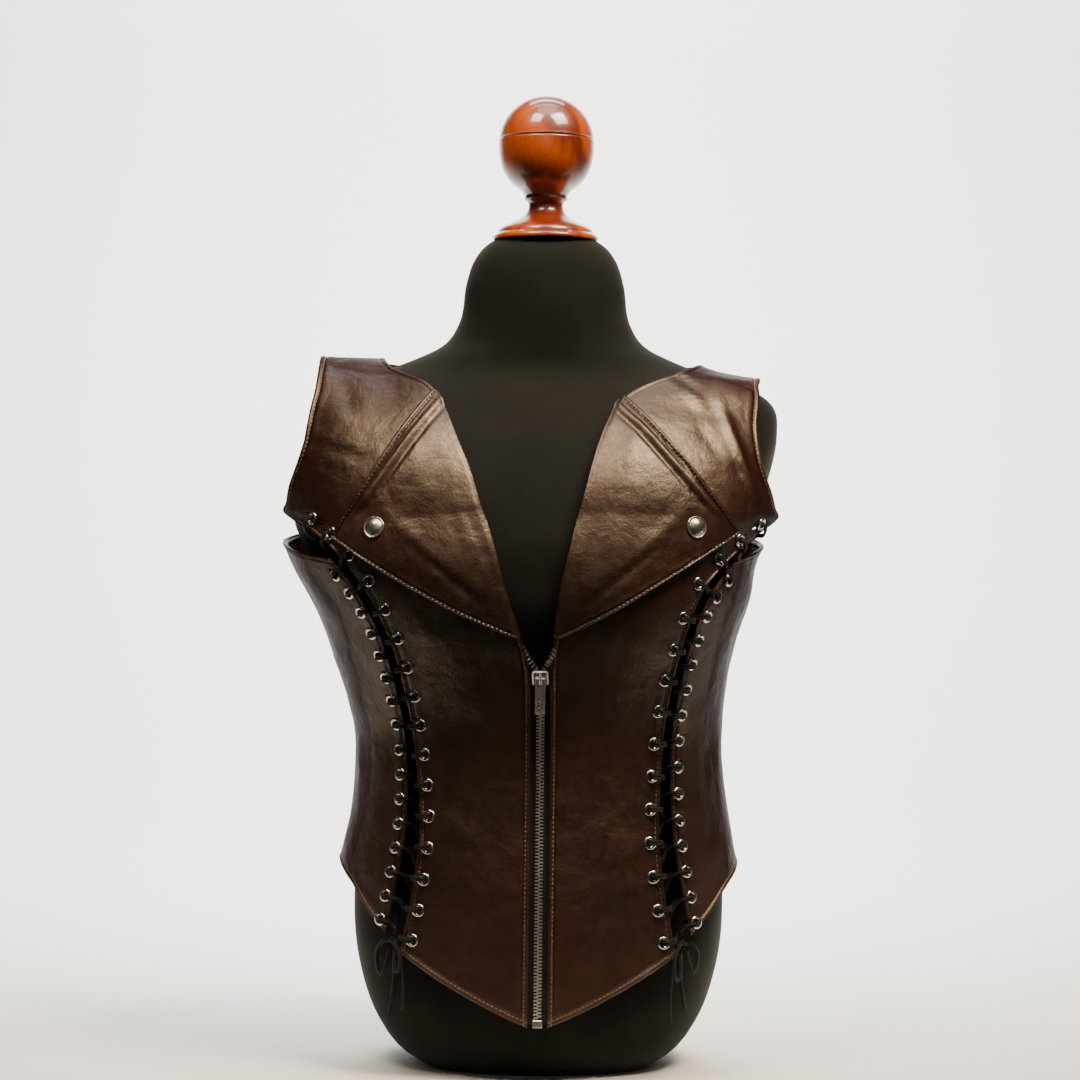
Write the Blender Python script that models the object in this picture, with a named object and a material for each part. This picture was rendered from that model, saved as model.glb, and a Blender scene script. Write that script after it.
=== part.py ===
"""A laced corset vest of brown leather, worn by a limbless dress form with a turned wooden finial.

Sizes are millimetres, taken round the body from its upright axis. X runs to the wearer's left, the
front faces -Y and Z is up. The form stands on its flat underside, whose middle is the origin.
"""

import math

import bmesh
import bpy
import numpy as np
from mathutils import Matrix, Vector
from mathutils.bvhtree import BVHTree

MM = 0.001
SIDES = {"right": -1, "left": 1}
BACK_MIDDLE = 180.0

LEATHER = 2.0  # shell leather with its turned and glued lining
SEAM_GAP = 0.35  # clear space between neighbouring pieces
FORM_CLEARANCE = 2.8  # room between the form's skin and the leather over it

SHOULDER_BASE = 402.0  # level of the armhole corners, where the shoulder arches start
ARCH_POWER = 1.25  # over 1 gives a straighter chest and a tighter turn over the shoulder
SHOULDER_SEAM = 102.0  # degrees over the arch: the seam lies just behind the top of the shoulder

FRONT_TIP = 41.0  # lowest level of the hem, beside the zip
FRONT_CORNER = 90.0  # level of the hem at the front's lacing edge
ZIP_HALF_GAP = 7.0  # from the zip's middle to each leather edge
ZIP_TOP = 311.0

EYELETS = {"right": 16, "left": 15}
EYELET_TOP, EYELET_BOTTOM = 391.5, 101.0  # levels of the laced edge beside the end eyelets
SEAT_STEP = 0.15  # a seated piece that still crosses its carrier moves out by this much at a time
SIDE_EYELET_TOP, SIDE_EYELET_BOTTOM = 363.0, 111.0
EYELET_INSET = 7.4
EYELET_HOLE = 2.7
EYELET_RIM = 4.85
EYELET_HEIGHT = 0.9
EYELET_SEAT = 0.85  # clears the facets round the hole
LACE_RADIUS = 1.5
LACE_CLEAR = 0.8
GAP_STEP, GAP_DEPTH, GAP_DROP = 3.2, 4.4, 2.0  # where a strand goes down: past the edge, under it, lower
UNDER_SAG = 1.8
STEEP_LACE, STEEP_SAG = 20.0, 3.6  # a strand that drops this far in a gap hangs this much deeper
LACE_END_DROP = 6.5  # from the last strand down to the knot


def smooth(knots, values, at):
    """A curve without overshoot through the knots, read at any value."""
    steps = np.diff(values) / np.diff(knots)
    slopes = np.concatenate([[steps[0]], (steps[1:] + steps[:-1]) / 2, [steps[-1]]])
    slopes[1:-1][steps[1:] * steps[:-1] <= 0] = 0
    limit = 3 * np.minimum(np.abs(np.append(steps, steps[-1])), np.abs(np.insert(steps, 0, steps[0])))
    slopes = np.clip(slopes, -limit, limit)
    at = min(max(at, knots[0]), knots[-1])
    i = min(int(np.searchsorted(knots, at, side="right")) - 1, len(steps) - 1)
    span = knots[i + 1] - knots[i]
    s = (at - knots[i]) / span
    return float(
        values[i] * (1 + 2 * s) * (1 - s) ** 2
        + slopes[i] * span * s * (1 - s) ** 2
        + values[i + 1] * s * s * (3 - 2 * s)
        + slopes[i + 1] * span * s * s * (s - 1)
    )


class Table:
    """Rows of sizes with named columns, read along the first column."""

    def __init__(self, columns, *rows):
        self.columns = columns.split()
        self.rows = np.array(rows, float)

    def read(self, column, at):
        return smooth(self.rows[:, 0], self.rows[:, self.columns.index(column)], at)


FORM = Table(
    "height right left front back squareness",
    (0, 84, 84, 68, 76, 2.3),
    (10, 100, 100, 80, 88, 2.3),
    (32, 117, 117, 91, 98, 2.3),
    (70, 131, 131, 97, 102, 2.3),
    (115, 136, 136, 97, 99, 2.3),
    (150, 135, 135, 95, 94, 2.3),
    (190, 127, 127, 93, 86, 2.3),
    (232, 122, 122, 93, 82, 2.3),
    (265, 127, 125, 98, 83, 2.35),
    (300, 138, 131, 110, 87, 2.4),
    (345, 160, 142, 122, 93, 2.5),
    (375, 174, 147, 121, 97, 2.5),
    (402, 184, 156, 114, 99, 2.45),
    (430, 173, 166, 103, 98, 2.4),
    (455, 166, 172, 89, 92, 2.3),
    (472, 162, 173, 76, 84, 2.25),
    (490, 156, 165, 62, 72, 2.2),
    (500, 143, 146, 53, 62, 2.15),
    (508, 120, 120, 48, 57, 2.1),
    (518, 94, 94, 46, 56, 2.05),
    (527, 76, 76, 46, 56, 2.0),
    (543, 64, 64, 46, 55, 2.0),
    (575, 58, 58, 43, 52, 2.0),
    (592, 52, 52, 39, 48, 2.0),
    (602, 44, 44, 33, 42, 2.0),
    (606, 38, 38, 28, 37, 2.0),
)

VEST = Table(
    "height middle right left front back squareness",
    (41, 0, 150, 150, 109, 106, 2.3),
    (110, 0, 149.5, 149.5, 108, 106, 2.3),
    (148, 0, 146.5, 146.5, 106, 103, 2.3),
    (184, 0, 139.3, 139.3, 103, 97, 2.3),
    (211, 0, 136.2, 135.4, 102, 94, 2.3),
    (237, 0, 135.5, 133.3, 103, 92.5, 2.3),
    (264, 0, 141.2, 134, 108, 93, 2.35),
    (290, -0.5, 150, 138.5, 116, 95, 2.4),
    (317, -1.5, 158, 146.7, 126, 98, 2.45),
    (344, -3, 169.9, 156.8, 132, 101, 2.5),
    (362, -3.5, 179.5, 160, 133, 103, 2.5),
    (380, -3.5, 187, 165.4, 131, 105, 2.5),
    (402, -3.5, 190, 180, 125, 107, 2.45),
)

SHOULDER_TOP = Table(
    "across right left",
    (40, 529, 524),
    (75, 528, 521),
    (115, 518, 513.5),
    (163, 518.5, 505),
)

# Edges of the panels: how far each lies from the middle at a level, or at degrees up the arch.
LACING_EDGE = Table(
    "level right left",
    (90, 98, 98),
    (145, 88, 88),
    (180, 85, 85),
    (216, 87, 86),
    (264, 94, 90),
    (317, 107.5, 103.5),
    (352, 124, 119),
    (379, 147.5, 144),
    (389, 160, 156),
    (395, 169.5, 165),
)
LACING_GAP = Table(
    "level gap",
    (90, 16),
    (145, 14),
    (180, 11),
    (216, 8),
    (264, 6.5),
    (330, 7),
    (365, 9),
    (402, 13),
)
ROLL_LINE = Table(
    "level right left",
    (285, 7, 7),
    (300, 8.5, 8),
    (311, 11, 9),
    (337, 18.2, 13.5),
    (357, 23.8, 17.5),
    (377, 29, 22.2),
    (402, 37, 28),
)
NECK_EDGE = Table(
    "degrees right left",
    (0, 37, 28),
    (19.3, 47.9, 36.5),
    (30.6, 57.7, 43),
    (40.4, 65.7, 50.5),
    (50.2, 74, 59.8),
    (60.2, 93, 86),
    (66, 102.5, 101),
    (74, 109.5, 110.5),
    (90, 114, 118),
    (102, 115.5, 119),
)
ARMHOLE_EDGE = Table(
    "degrees right left",
    (0, 184, 174),
    (14.7, 180, 168.5),
    (24, 173, 163),
    (33.5, 168.5, 159.5),
    (43.4, 166, 158),
    (54.6, 163, 158.5),
    (90, 161.5, 163.5),
    (102, 161, 164),
)
BACK_SEAM = Table("level across", (100, 98), (150, 94), (232, 86), (300, 98), (360, 122), (402, 140))
BACK_ARMHOLE = Table("degrees across", (0, 142), (22, 143), (45, 149), (78, 161))
SIDE_HEM = Table(
    "around level",
    (38, 96),
    (45, 105.5),
    (52, 116.6),
    (62, 133),
    (75, 144),
    (90, 149),
    (130, 149),
    (180, 138),
)
SIDE_TOP = Table("around level", (50, 370), (62, 373), (80, 380), (110, 388), (140, 399))

# Long soft folds of the side panels: a ridge of this height and half-width along a slanting line.
FOLDS = Table(
    "around low high half_width height lean",
    (58, 150, 330, 5, 1.4, 6),
    (70, 160, 300, 4.5, 1.6, -5),
    (84, 120, 350, 6, 1.3, 8),
    (104, 150, 300, 6, 1.2, -6),
)

LAPEL_TIP = {"right": (143.6, 384.5), "left": (141.0, 392.5)}
LAPEL_LOW_EDGE_SAG = 3.0
LAPEL_LAYER = 2.4
LAPEL_GAP = 2.6
LAPEL_REST = {"right": 0.35, "left": 1.1}
LAPEL_RIDGE = 9.0
LAPEL_RIDGE_HEIGHT = 0.8
SNAP = {"right": (114.0, 393.0), "left": (111.5, 394.0)}
SNAP_RADIUS = 7.8
SNAP_DOME = 2.6

KNOT_RADIUS = 4.2
LOOPS = ((15, 24), (13, 20))  # width and depth of each loop of the bow
LOOP_SHAPE = (
    # along, out and down: shares of the loop's width, millimetres, shares of its depth
    (0.12, 1.0, 0.0),
    (0.55, 4.4, 0.0),
    (1.0, 5.4, 0.35),
    (0.95, 5.0, 0.85),
    (0.6, 4.6, 1.0),
    (0.38, 4.2, 0.7),
    (0.3, 2.4, 0.25),
)
TAILS = ((-7.0, 52.0), (6.0, 44.0))  # sideways drift and length of each free end
TAIL_BEND = 2.4  # how far the lace ends lean in to the form

SLIDER_LEVEL = 288.0
SLIDER = (11.5, 10.7, 4.0)  # across, along and through the zip
CHAIN_WIDTH, CHAIN_THICKNESS = 6.0, 2.6
ZIP_BOX = (6.8, 5.4, 3.2)
TAPE_WIDTH, TAPE_THICKNESS, TAPE_DEPTH = 14.0, 0.8, 2.8
ZIP_PARTED = {"right": 11.5, "left": 10.0}  # how far the tape's edges part at the top
ARCH_WIDTH, ARCH_BAR = 1.7, 1.2
ARCH_HOLLOW = (5.6, 2.7)  # along and out
PULL = (7.2, 25.0, 1.2)
PULL_BAR = 1.4
PULL_EYE = (3.0, 4.7)
PULL_SLOT = (3.4, 7.0)

FINIAL_PROFILE = (
    # radius, height above the neck's top
    (0.0, 0.0),
    (39.0, 0.0),
    (39.2, 2.5),
    (36.5, 5.5),
    (34.0, 7.0),
    (33.0, 9.0),
    (27.0, 12.5),
    (20.0, 16.0),
    (14.6, 19.5),
    (12.6, 23.5),
    (12.8, 27.5),
    (15.6, 30.2),
    (15.6, 32.0),
)
BALL_RADIUS = 35.3
BALL_MIDDLE = 72.5
BALL_STEPS = 12
GROOVE_DEPTH = 0.9


def clear_scene():
    for old in list(bpy.data.objects):
        bpy.data.objects.remove(old)


def material(name, colour, roughness, metallic=0.0):
    made = bpy.data.materials.new(name)
    made.use_nodes = True
    shader = made.node_tree.nodes["Principled BSDF"]
    shader.inputs["Base Color"].default_value = (*colour, 1)
    shader.inputs["Roughness"].default_value = roughness
    shader.inputs["Metallic"].default_value = metallic
    return made


def solid(name, points, faces, finish, smooth_shaded=True):
    """One closed object from points in millimetres."""
    mesh = bpy.data.meshes.new(name)
    mesh.from_pydata([tuple(p) for p in points], [], faces)
    shell = bmesh.new()
    shell.from_mesh(mesh)
    bmesh.ops.recalc_face_normals(shell, faces=shell.faces)
    bmesh.ops.scale(shell, vec=(MM, MM, MM), verts=shell.verts)
    shell.to_mesh(mesh)
    shell.free()
    if smooth_shaded:
        mesh.shade_smooth()
        mesh.set_sharp_from_angle(angle=math.radians(40))
    mesh.materials.append(finish)
    made = bpy.data.objects.new(name, mesh)
    bpy.context.scene.collection.objects.link(made)
    return made


def boolean(target, tool, operation):
    """Applies a Boolean at once, and removes the tool."""
    step = target.modifiers.new(operation.lower(), "BOOLEAN")
    step.operation = operation
    step.solver = "EXACT"
    step.object = tool
    bpy.context.view_layer.update()
    graph = bpy.context.evaluated_depsgraph_get()
    mesh = bpy.data.meshes.new_from_object(target.evaluated_get(graph))
    target.modifiers.clear()
    target.data = mesh
    bpy.data.objects.remove(tool)


def surface_of(made):
    faces = [tuple(p.vertices) for p in made.data.polygons]
    return BVHTree.FromPolygons([v.co for v in made.data.vertices], faces)


def seat(piece, carrier, outward, gap=SEAM_GAP):
    """Moves a piece in against what carries it, until their corners are this far apart."""
    outward = Vector(outward).normalized()
    clear = []
    for mover, target, way in ((piece, carrier, -outward), (carrier, piece, outward)):
        surface = surface_of(target)
        for vertex in mover.data.vertices:
            distance = surface.ray_cast(vertex.co, way)[3]
            if distance is not None:
                clear.append(distance)
    piece.data.transform(Matrix.Translation(-outward * (min(clear) - gap * MM)))
    crossed = bool(surface_of(piece).overlap(surface_of(carrier)))
    while crossed:
        crossed = bool(surface_of(piece).overlap(surface_of(carrier)))
        piece.data.transform(Matrix.Translation(outward * SEAT_STEP * MM))


def signed_power(value, power):
    return math.copysign(abs(value) ** power, value)


def unit(vector):
    return vector / max(np.linalg.norm(vector), 1e-9)


def form_reach(point):
    """How far outside the form's skin a point lies, and the way out, to first order."""

    def share(p):
        z = p[2]
        n = FORM.read("squareness", z)
        depth = FORM.read("front" if p[1] < 0 else "back", z)
        width = FORM.read("right" if p[0] < 0 else "left", z)
        return ((abs(p[0]) / width) ** n + (abs(p[1]) / depth) ** n) ** (1 / n)

    here = share(point)
    slope = np.array([(share(point + step) - share(point - step)) / 0.2 for step in np.eye(3) * 0.1])
    steep = max(np.linalg.norm(slope), 1e-6)
    return (here - 1) / steep, slope / steep


def clear_of_form(point):
    """Moves a point of the vest's outer face out until the leather under it clears the form."""
    wanted = LEATHER + FORM_CLEARANCE
    for _ in range(6):
        reach, outward = form_reach(point)
        if reach >= wanted:
            break
        point = point + outward * (wanted - reach)
    return point


def around_of(side, across, level):
    """Degrees round from the front's middle at which the section is this wide."""
    z = min(level, SHOULDER_BASE)
    share = min(across / VEST.read(side, z), 0.995)
    return math.degrees(math.asin(share ** (VEST.read("squareness", z) / 2)))


def fold_height(around, level):
    """How far the long folds lift the leather here."""
    lift = 0.0
    for middle, low, high, half_width, height, lean in FOLDS.rows:
        s = (level - low) / (high - low)
        if 0 < s < 1:
            off = (around - middle - lean * (s - 0.5)) / half_width
            lift += height * math.sin(math.pi * s) ** 2 * math.exp(-off * off)
    return lift


def cloth(side, around, level):
    """A point of the vest's outer face. Above SHOULDER_BASE the level counts degrees over the arch."""
    z = min(level, SHOULDER_BASE)
    power = 2 / VEST.read("squareness", z)
    turn = math.radians(around)
    width = VEST.read(side, z)
    front, back = VEST.read("front", z), VEST.read("back", z)
    across = width * abs(math.sin(turn)) ** power
    bulge = abs(math.cos(turn)) ** power
    forward = math.cos(turn) >= 0
    y = -front * bulge if forward else back * bulge
    if level > SHOULDER_BASE:
        over = math.radians(level - SHOULDER_BASE)
        shoulder = SHOULDER_TOP.read(side, across) - SHOULDER_BASE
        z = SHOULDER_BASE + shoulder * math.sin(over) ** ARCH_POWER
        lean = signed_power(math.cos(over), ARCH_POWER)
        y = y * lean if lean > 0 else -lean * (back if forward else -front) * bulge
    else:
        lift = fold_height(around, level)
        across += lift * math.sin(turn)
        y -= lift * math.cos(turn)
    middle = VEST.read("middle", z if level <= SHOULDER_BASE else SHOULDER_BASE)
    return clear_of_form(np.array([middle + SIDES[side] * across, y, z]))


def on_front(side, across, height):
    """The front's outer face at a place given as seen from the front."""
    level = height
    if height > SHOULDER_BASE:
        share = (height - SHOULDER_BASE) / (SHOULDER_TOP.read(side, across) - SHOULDER_BASE)
        level = SHOULDER_BASE + math.degrees(math.asin(min(share, 1) ** (1 / ARCH_POWER)))
    return cloth(side, around_of(side, across, level), level)


def grid_normals(grid):
    """Unit normals of a grid of points, facing away from the body's axis."""
    rows = np.gradient(grid, axis=0)
    columns = np.gradient(grid, axis=1)
    normals = np.cross(rows, columns)
    normals /= np.maximum(np.linalg.norm(normals, axis=2, keepdims=True), 1e-9)
    middle = grid.reshape(-1, 3).mean(axis=0) - np.array([0, 0, 300.0])
    middle[2] = max(middle[2], 0)
    facing = (normals.reshape(-1, 3) @ middle).sum()
    return normals if facing > 0 else -normals


def wall(name, grid, thickness, finish, lift=0.0, raised=None):
    """A closed wall under a grid of outer points. lift moves it out, and raised swells its outer face."""
    normals = grid_normals(grid)
    outer = grid + normals * lift
    inner = outer - normals * thickness
    if raised is not None:
        outer = outer + normals * raised[..., None]
    rows, columns = grid.shape[:2]
    points = np.concatenate([outer.reshape(-1, 3), inner.reshape(-1, 3)])
    below = rows * columns

    def at(r, c, under=0):
        return r * columns + c + under

    faces = []
    for r in range(rows - 1):
        for c in range(columns - 1):
            quad = (at(r, c), at(r, c + 1), at(r + 1, c + 1), at(r + 1, c))
            faces += [quad, tuple(i + below for i in reversed(quad))]
    rim = [at(0, c) for c in range(columns)] + [at(r, columns - 1) for r in range(1, rows)]
    rim += [at(rows - 1, c) for c in range(columns - 2, -1, -1)]
    rim += [at(r, 0) for r in range(rows - 2, 0, -1)]
    faces += [(a, a + below, b + below, b) for a, b in zip(rim, rim[1:] + rim[:1])]
    return solid(name, points, faces, finish)


def tube(name, path, radius, finish, sides=6):
    """A closed round rod along points in millimetres, with a frame that doesn't twist."""
    path = np.array(path, float)
    ahead = np.gradient(path, axis=0)
    up = unit(np.cross(ahead[0], (0.31, 0.2, 0.93)))
    points = []
    for place, way in zip(path, ahead):
        way = unit(way)
        up = unit(up - way * (up @ way))
        out = np.cross(way, up)
        for k in range(sides):
            turn = 2 * math.pi * k / sides
            points.append(place + radius * (math.cos(turn) * up + math.sin(turn) * out))
    faces = []
    for ring in range(len(path) - 1):
        for k in range(sides):
            a, b = ring * sides + k, ring * sides + (k + 1) % sides
            faces.append((a, b, b + sides, a + sides))
    faces += [tuple(range(sides)), tuple(range(len(points) - sides, len(points)))]
    return solid(name, points, faces, finish)


def spun(name, profile, segments, finish, place=(0, 0, 0), axis=(0, 0, 1)):
    """A closed turned piece: profile pairs of radius and height, its ends on the axis."""
    turn_to = Vector((0, 0, 1)).rotation_difference(Vector(axis)).to_matrix()
    place = Vector(place)
    points, faces, rings = [], [], []
    for radius, height in profile:
        count = 1 if radius == 0 else segments
        rings.append(range(len(points), len(points) + count))
        for k in range(count):
            turn = 2 * math.pi * k / segments
            point = Vector((radius * math.cos(turn), radius * math.sin(turn), height))
            points.append(tuple(place + turn_to @ point))
    for low, high in zip(rings, rings[1:]):
        for k in range(segments):
            after = k + 1
            corners = [low[k % len(low)], low[after % len(low)], high[after % len(high)], high[k % len(high)]]
            faces.append(tuple(dict.fromkeys(corners)))
    return solid(name, points, faces, finish)


def make_form(jersey):
    """The limbless body: rings of the FORM table, closed by a flat underside and a flat neck top."""
    segments = 30
    shoulders = (462, 475, 488, 497, 505, 512, 519, 527, 538, 556, 578, 592, 601, 606)
    levels = [0, 4, 12, *np.linspace(32, 448, 14), *shoulders]
    points, faces = [], []
    for z in levels:
        power = 2 / FORM.read("squareness", z)
        for k in range(segments):
            turn = 2 * math.pi * k / segments
            width = FORM.read("right" if math.sin(turn) < 0 else "left", z)
            depth = FORM.read("front" if math.cos(turn) >= 0 else "back", z)
            x = width * signed_power(math.sin(turn), power)
            points.append((x, -depth * signed_power(math.cos(turn), power), z))
    for ring in range(len(levels) - 1):
        for k in range(segments):
            a, b = ring * segments + k, ring * segments + (k + 1) % segments
            faces.append((a, b, b + segments, a + segments))
    faces += [tuple(range(segments)), tuple(range(len(points) - segments, len(points)))]
    return solid("form_torso", points, faces, jersey)


def make_finial(wood):
    """Foot, waist and ball of the neck's finial, with the ball's turned groove."""
    base = 606.0 + SEAM_GAP
    profile = list(FINIAL_PROFILE)
    low = -62.0
    for step in range(BALL_STEPS + 1):
        turn = math.radians(low + (90 - low) * step / BALL_STEPS)
        fuller = 1 + 0.16 * max(0.0, -math.sin(turn)) ** 1.5
        radius = BALL_RADIUS * math.cos(turn) * fuller
        height = BALL_MIDDLE + BALL_RADIUS * math.sin(turn) * (1.12 if turn < 0 else 1)
        profile.append((0.0 if step == BALL_STEPS else radius, height))
    groove_at = BALL_MIDDLE + 3.0
    above = [p for p in profile if p[1] > groove_at + 1]
    under = [p for p in profile if p[1] < groove_at - 1]
    lip = BALL_RADIUS * 0.995
    groove = [(lip, groove_at - 0.7), (lip - GROOVE_DEPTH, groove_at), (lip, groove_at + 0.7)]
    return spun("form_finial", under + groove + above, 20, wood, place=(0, 4, base))


def lacing_around(side, level):
    return around_of(side, LACING_EDGE.read(side, level), level)


def side_edge_around(side, level):
    """The side panel's front edge: past the lacing edge by the gap, measured along the leather."""
    start = lacing_around(side, level)
    per_degree = np.linalg.norm(cloth(side, start + 1, level) - cloth(side, start, level))
    return start + LACING_GAP.read("gap", level) / per_degree


def front_inner(side, level):
    """The front's inner edge: beside the zip, up the roll line, and round the neck."""
    if level <= SHOULDER_BASE:
        across = max(ROLL_LINE.read(side, level), ZIP_HALF_GAP)
    else:
        across = NECK_EDGE.read(side, level - SHOULDER_BASE)
    return around_of(side, across + (1.2 if level > ZIP_TOP else 0), level)


def front_outer(side, level):
    if level >= SHOULDER_BASE:
        return around_of(side, ARMHOLE_EDGE.read(side, level - SHOULDER_BASE), level)
    corner = ARMHOLE_EDGE.read(side, 0)
    end_level = LACING_EDGE.rows[-1][0]
    if level > end_level:
        share = (level - end_level) / (SHOULDER_BASE - end_level)
        end = LACING_EDGE.read(side, end_level)
        return around_of(side, end + (corner - end) * share, level)
    return lacing_around(side, level)


def front_grid(side, body_rows=18, arch_rows=11, columns=10):
    """Outer points of a front, from the hem over the shoulder to its seam."""
    rows = []
    for v in np.linspace(0, 1, body_rows) ** 0.92:
        inner = FRONT_TIP + (SHOULDER_BASE - FRONT_TIP) * v
        outer = FRONT_CORNER + (SHOULDER_BASE - FRONT_CORNER) * v
        rows.append((inner, outer))
    arch = np.linspace(0, SHOULDER_SEAM, arch_rows)[1:]
    rows += [(SHOULDER_BASE + a, SHOULDER_BASE + a) for a in arch]
    grid = []
    for inner, outer in rows:
        ends = front_inner(side, inner), front_outer(side, outer)
        line = []
        for u in np.linspace(0, 1, columns):
            line.append(cloth(side, ends[0] + (ends[1] - ends[0]) * u, inner + (outer - inner) * u))
        grid.append(line)
    return np.array(grid)


def side_grid(side, rows=14, columns=9):
    """Outer points of a side panel, from its laced edge round under the arm to the back seam."""
    grid = []
    for v in np.linspace(0, 1, rows):
        line = []
        for u in np.linspace(0, 1, columns):
            level = 250.0
            for _ in range(6):
                edge = side_edge_around(side, min(level, 391.0))
                seam = BACK_MIDDLE - around_of(side, BACK_SEAM.read("across", level), level) - SEAM_GAP / 2
                around = edge + (seam - edge) * u
                low, high = SIDE_HEM.read("level", around), SIDE_TOP.read("level", around)
                level = low + (high - low) * v
            line.append(cloth(side, around, level))
        grid.append(line)
    return np.array(grid)


def back_grid(rows=12, arch_rows=12):
    """Outer points of the back, from one side seam to the other and up to the shoulder seams."""
    top = BACK_MIDDLE - SHOULDER_SEAM - 0.5
    shares = np.array([0, 0.16, 0.31, 0.46, 0.6, 0.74, 0.87, 1.0])
    neck_share = shares[4]
    both = [("right", s) for s in shares[::-1]] + [("left", s) for s in shares[1:]]
    grid = []
    for v in np.linspace(0, 1, rows):
        line = []
        for side, share in both:
            level = 250.0
            for _ in range(6):
                seam = around_of(side, BACK_SEAM.read("across", level), level) - SEAM_GAP / 2
                around = BACK_MIDDLE - seam * share
                low = SIDE_HEM.read("level", around)
                level = low + (SHOULDER_BASE - low) * v
            line.append(cloth(side, around, level))
        grid.append(line)
    for v in np.linspace(0, 1, arch_rows)[1:]:
        line = []
        for side, share in both:
            scoop = 52 + (top - 52) * min(share / neck_share, 1) ** 3
            degrees = scoop * v
            outer = around_of(side, BACK_ARMHOLE.read("across", degrees), SHOULDER_BASE)
            around = BACK_MIDDLE - outer * share
            line.append(cloth(side, around, SHOULDER_BASE + degrees))
        grid.append(line)
    return np.array(grid)


EDGE_OF = {"front": front_outer, "side": side_edge_around}


def edge_frame(side, part, level):
    """A point of a laced edge with the ways in from the edge and out of the leather."""
    edge, inward = EDGE_OF[part], -1 if part == "front" else 1
    here = cloth(side, edge(side, level), level)
    above, below = (cloth(side, edge(side, level + step), level + step) for step in (2, -2))
    along = unit(above - below)
    across = cloth(side, edge(side, level) + 6 * inward, level) - here
    across = unit(across - along * (across @ along))
    outward = np.cross(along, across)
    if outward[:2] @ here[:2] < 0:
        outward = -outward
    return here, across, outward


def eyelet_levels(side, part):
    """Levels of the edge beside the eyelets, which are evenly apart along it."""
    top = EYELET_TOP if part == "front" else SIDE_EYELET_TOP
    bottom = EYELET_BOTTOM if part == "front" else SIDE_EYELET_BOTTOM
    levels = np.linspace(bottom, top, 60)
    edge = np.array([cloth(side, EDGE_OF[part](side, level), level) for level in levels])
    run = np.concatenate([[0], np.cumsum(np.linalg.norm(np.diff(edge, axis=0), axis=1))])
    return np.interp(np.linspace(run[-1], 0, EYELETS[side]), run, levels)


def eyelets(side, part):
    """Each eyelet's middle on the outer face, the way towards the laced edge, and the way out."""
    found = []
    for level in eyelet_levels(side, part):
        here, across, outward = edge_frame(side, part, level)
        found.append((here + across * EYELET_INSET, -across, outward))
    return found


def cut_eyelets(panel, side, part):
    """Six-sided holes through a panel, cut one at a time."""
    below, above, corners = -6.0, 4.0, 6
    for middle, _, outward in eyelets(side, part):
        turn_to = Vector((0, 0, 1)).rotation_difference(Vector(outward)).to_matrix()
        points = []
        for height in (below, above):
            for turn in np.linspace(0, 2 * math.pi, corners, endpoint=False):
                spoke = Vector((EYELET_HOLE * math.cos(turn), EYELET_HOLE * math.sin(turn), height))
                points.append(np.array(middle) + np.array(turn_to @ spoke))
        faces = [(k, (k + 1) % corners, (k + 1) % corners + corners, k + corners) for k in range(corners)]
        faces += [tuple(range(corners)), tuple(range(corners, 2 * corners))]
        boolean(panel, solid("eyelet_cutter", points, faces, panel.data.materials[0]), "DIFFERENCE")


def lapel_grid(side, rows=13, columns=8):
    """Outer points of the front under the lapel: a triangle from the roll line to its tip."""
    neck = NECK_EDGE.rows[4]
    neck_degrees = neck[0]
    tip = np.array(LAPEL_TIP[side])
    roll = []
    for v in np.linspace(0, 1, rows):
        level = ZIP_TOP + 3 + (SHOULDER_BASE - ZIP_TOP - 3) * v / 0.52
        if level <= SHOULDER_BASE:
            across, height = ROLL_LINE.read(side, level), level
        else:
            degrees = neck_degrees * (v - 0.52) / 0.48
            across = NECK_EDGE.read(side, degrees)
            rise = SHOULDER_TOP.read(side, across) - SHOULDER_BASE
            height = SHOULDER_BASE + rise * math.sin(math.radians(degrees)) ** ARCH_POWER
        roll.append((across, height))
    low, high = np.array(roll[0]), np.array(roll[-1])
    turn_at = 0.5
    grid, shares = [], []
    for v, start in zip(np.linspace(0, 1, rows), roll):
        if v <= turn_at:
            s = v / turn_at
            end = low + (tip - low) * s + np.array([2.0, -LAPEL_LOW_EDGE_SAG]) * math.sin(math.pi * s)
        else:
            s = (v - turn_at) / (1 - turn_at)
            end = tip + (high - tip) * s + np.array([0.8, 1.2]) * math.sin(math.pi * s)
        start, end = np.array(start), np.array(end)
        width = np.linalg.norm(end - start)
        end = start + (end - start) * max(1.0, 5.0 / max(width, 0.1)) if width > 0.1 else start + (5.0, 0)
        width = max(width, 5.0)
        ridge = min(LAPEL_RIDGE / width, 0.45)
        inner = np.linspace(0.12, 1 - ridge - 0.03, columns - 5)
        steps = [0, 0.03, *inner, 1 - ridge + 0.03 * (ridge < 0.4), 0.985, 1]
        line = [on_front(side, *(start + (end - start) * u)) for u in steps]
        grid.append(line)
        shares.append([LAPEL_RIDGE_HEIGHT * (u > 1 - ridge) * (width > 25) for u in steps])
    return np.array(grid), np.array(shares)


def make_lapel(side, front, leather):
    grid, ridge = lapel_grid(side)
    ridge[:, -1] = 0
    ridge[:, 0] = -0.9
    lapel = wall(f"lapel_{side}", grid, LAPEL_LAYER, leather, lift=LAPEL_LAYER + LAPEL_GAP, raised=ridge)
    seat(lapel, front, grid_normals(grid).mean(axis=(0, 1)), gap=LAPEL_REST[side])
    return lapel


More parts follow.
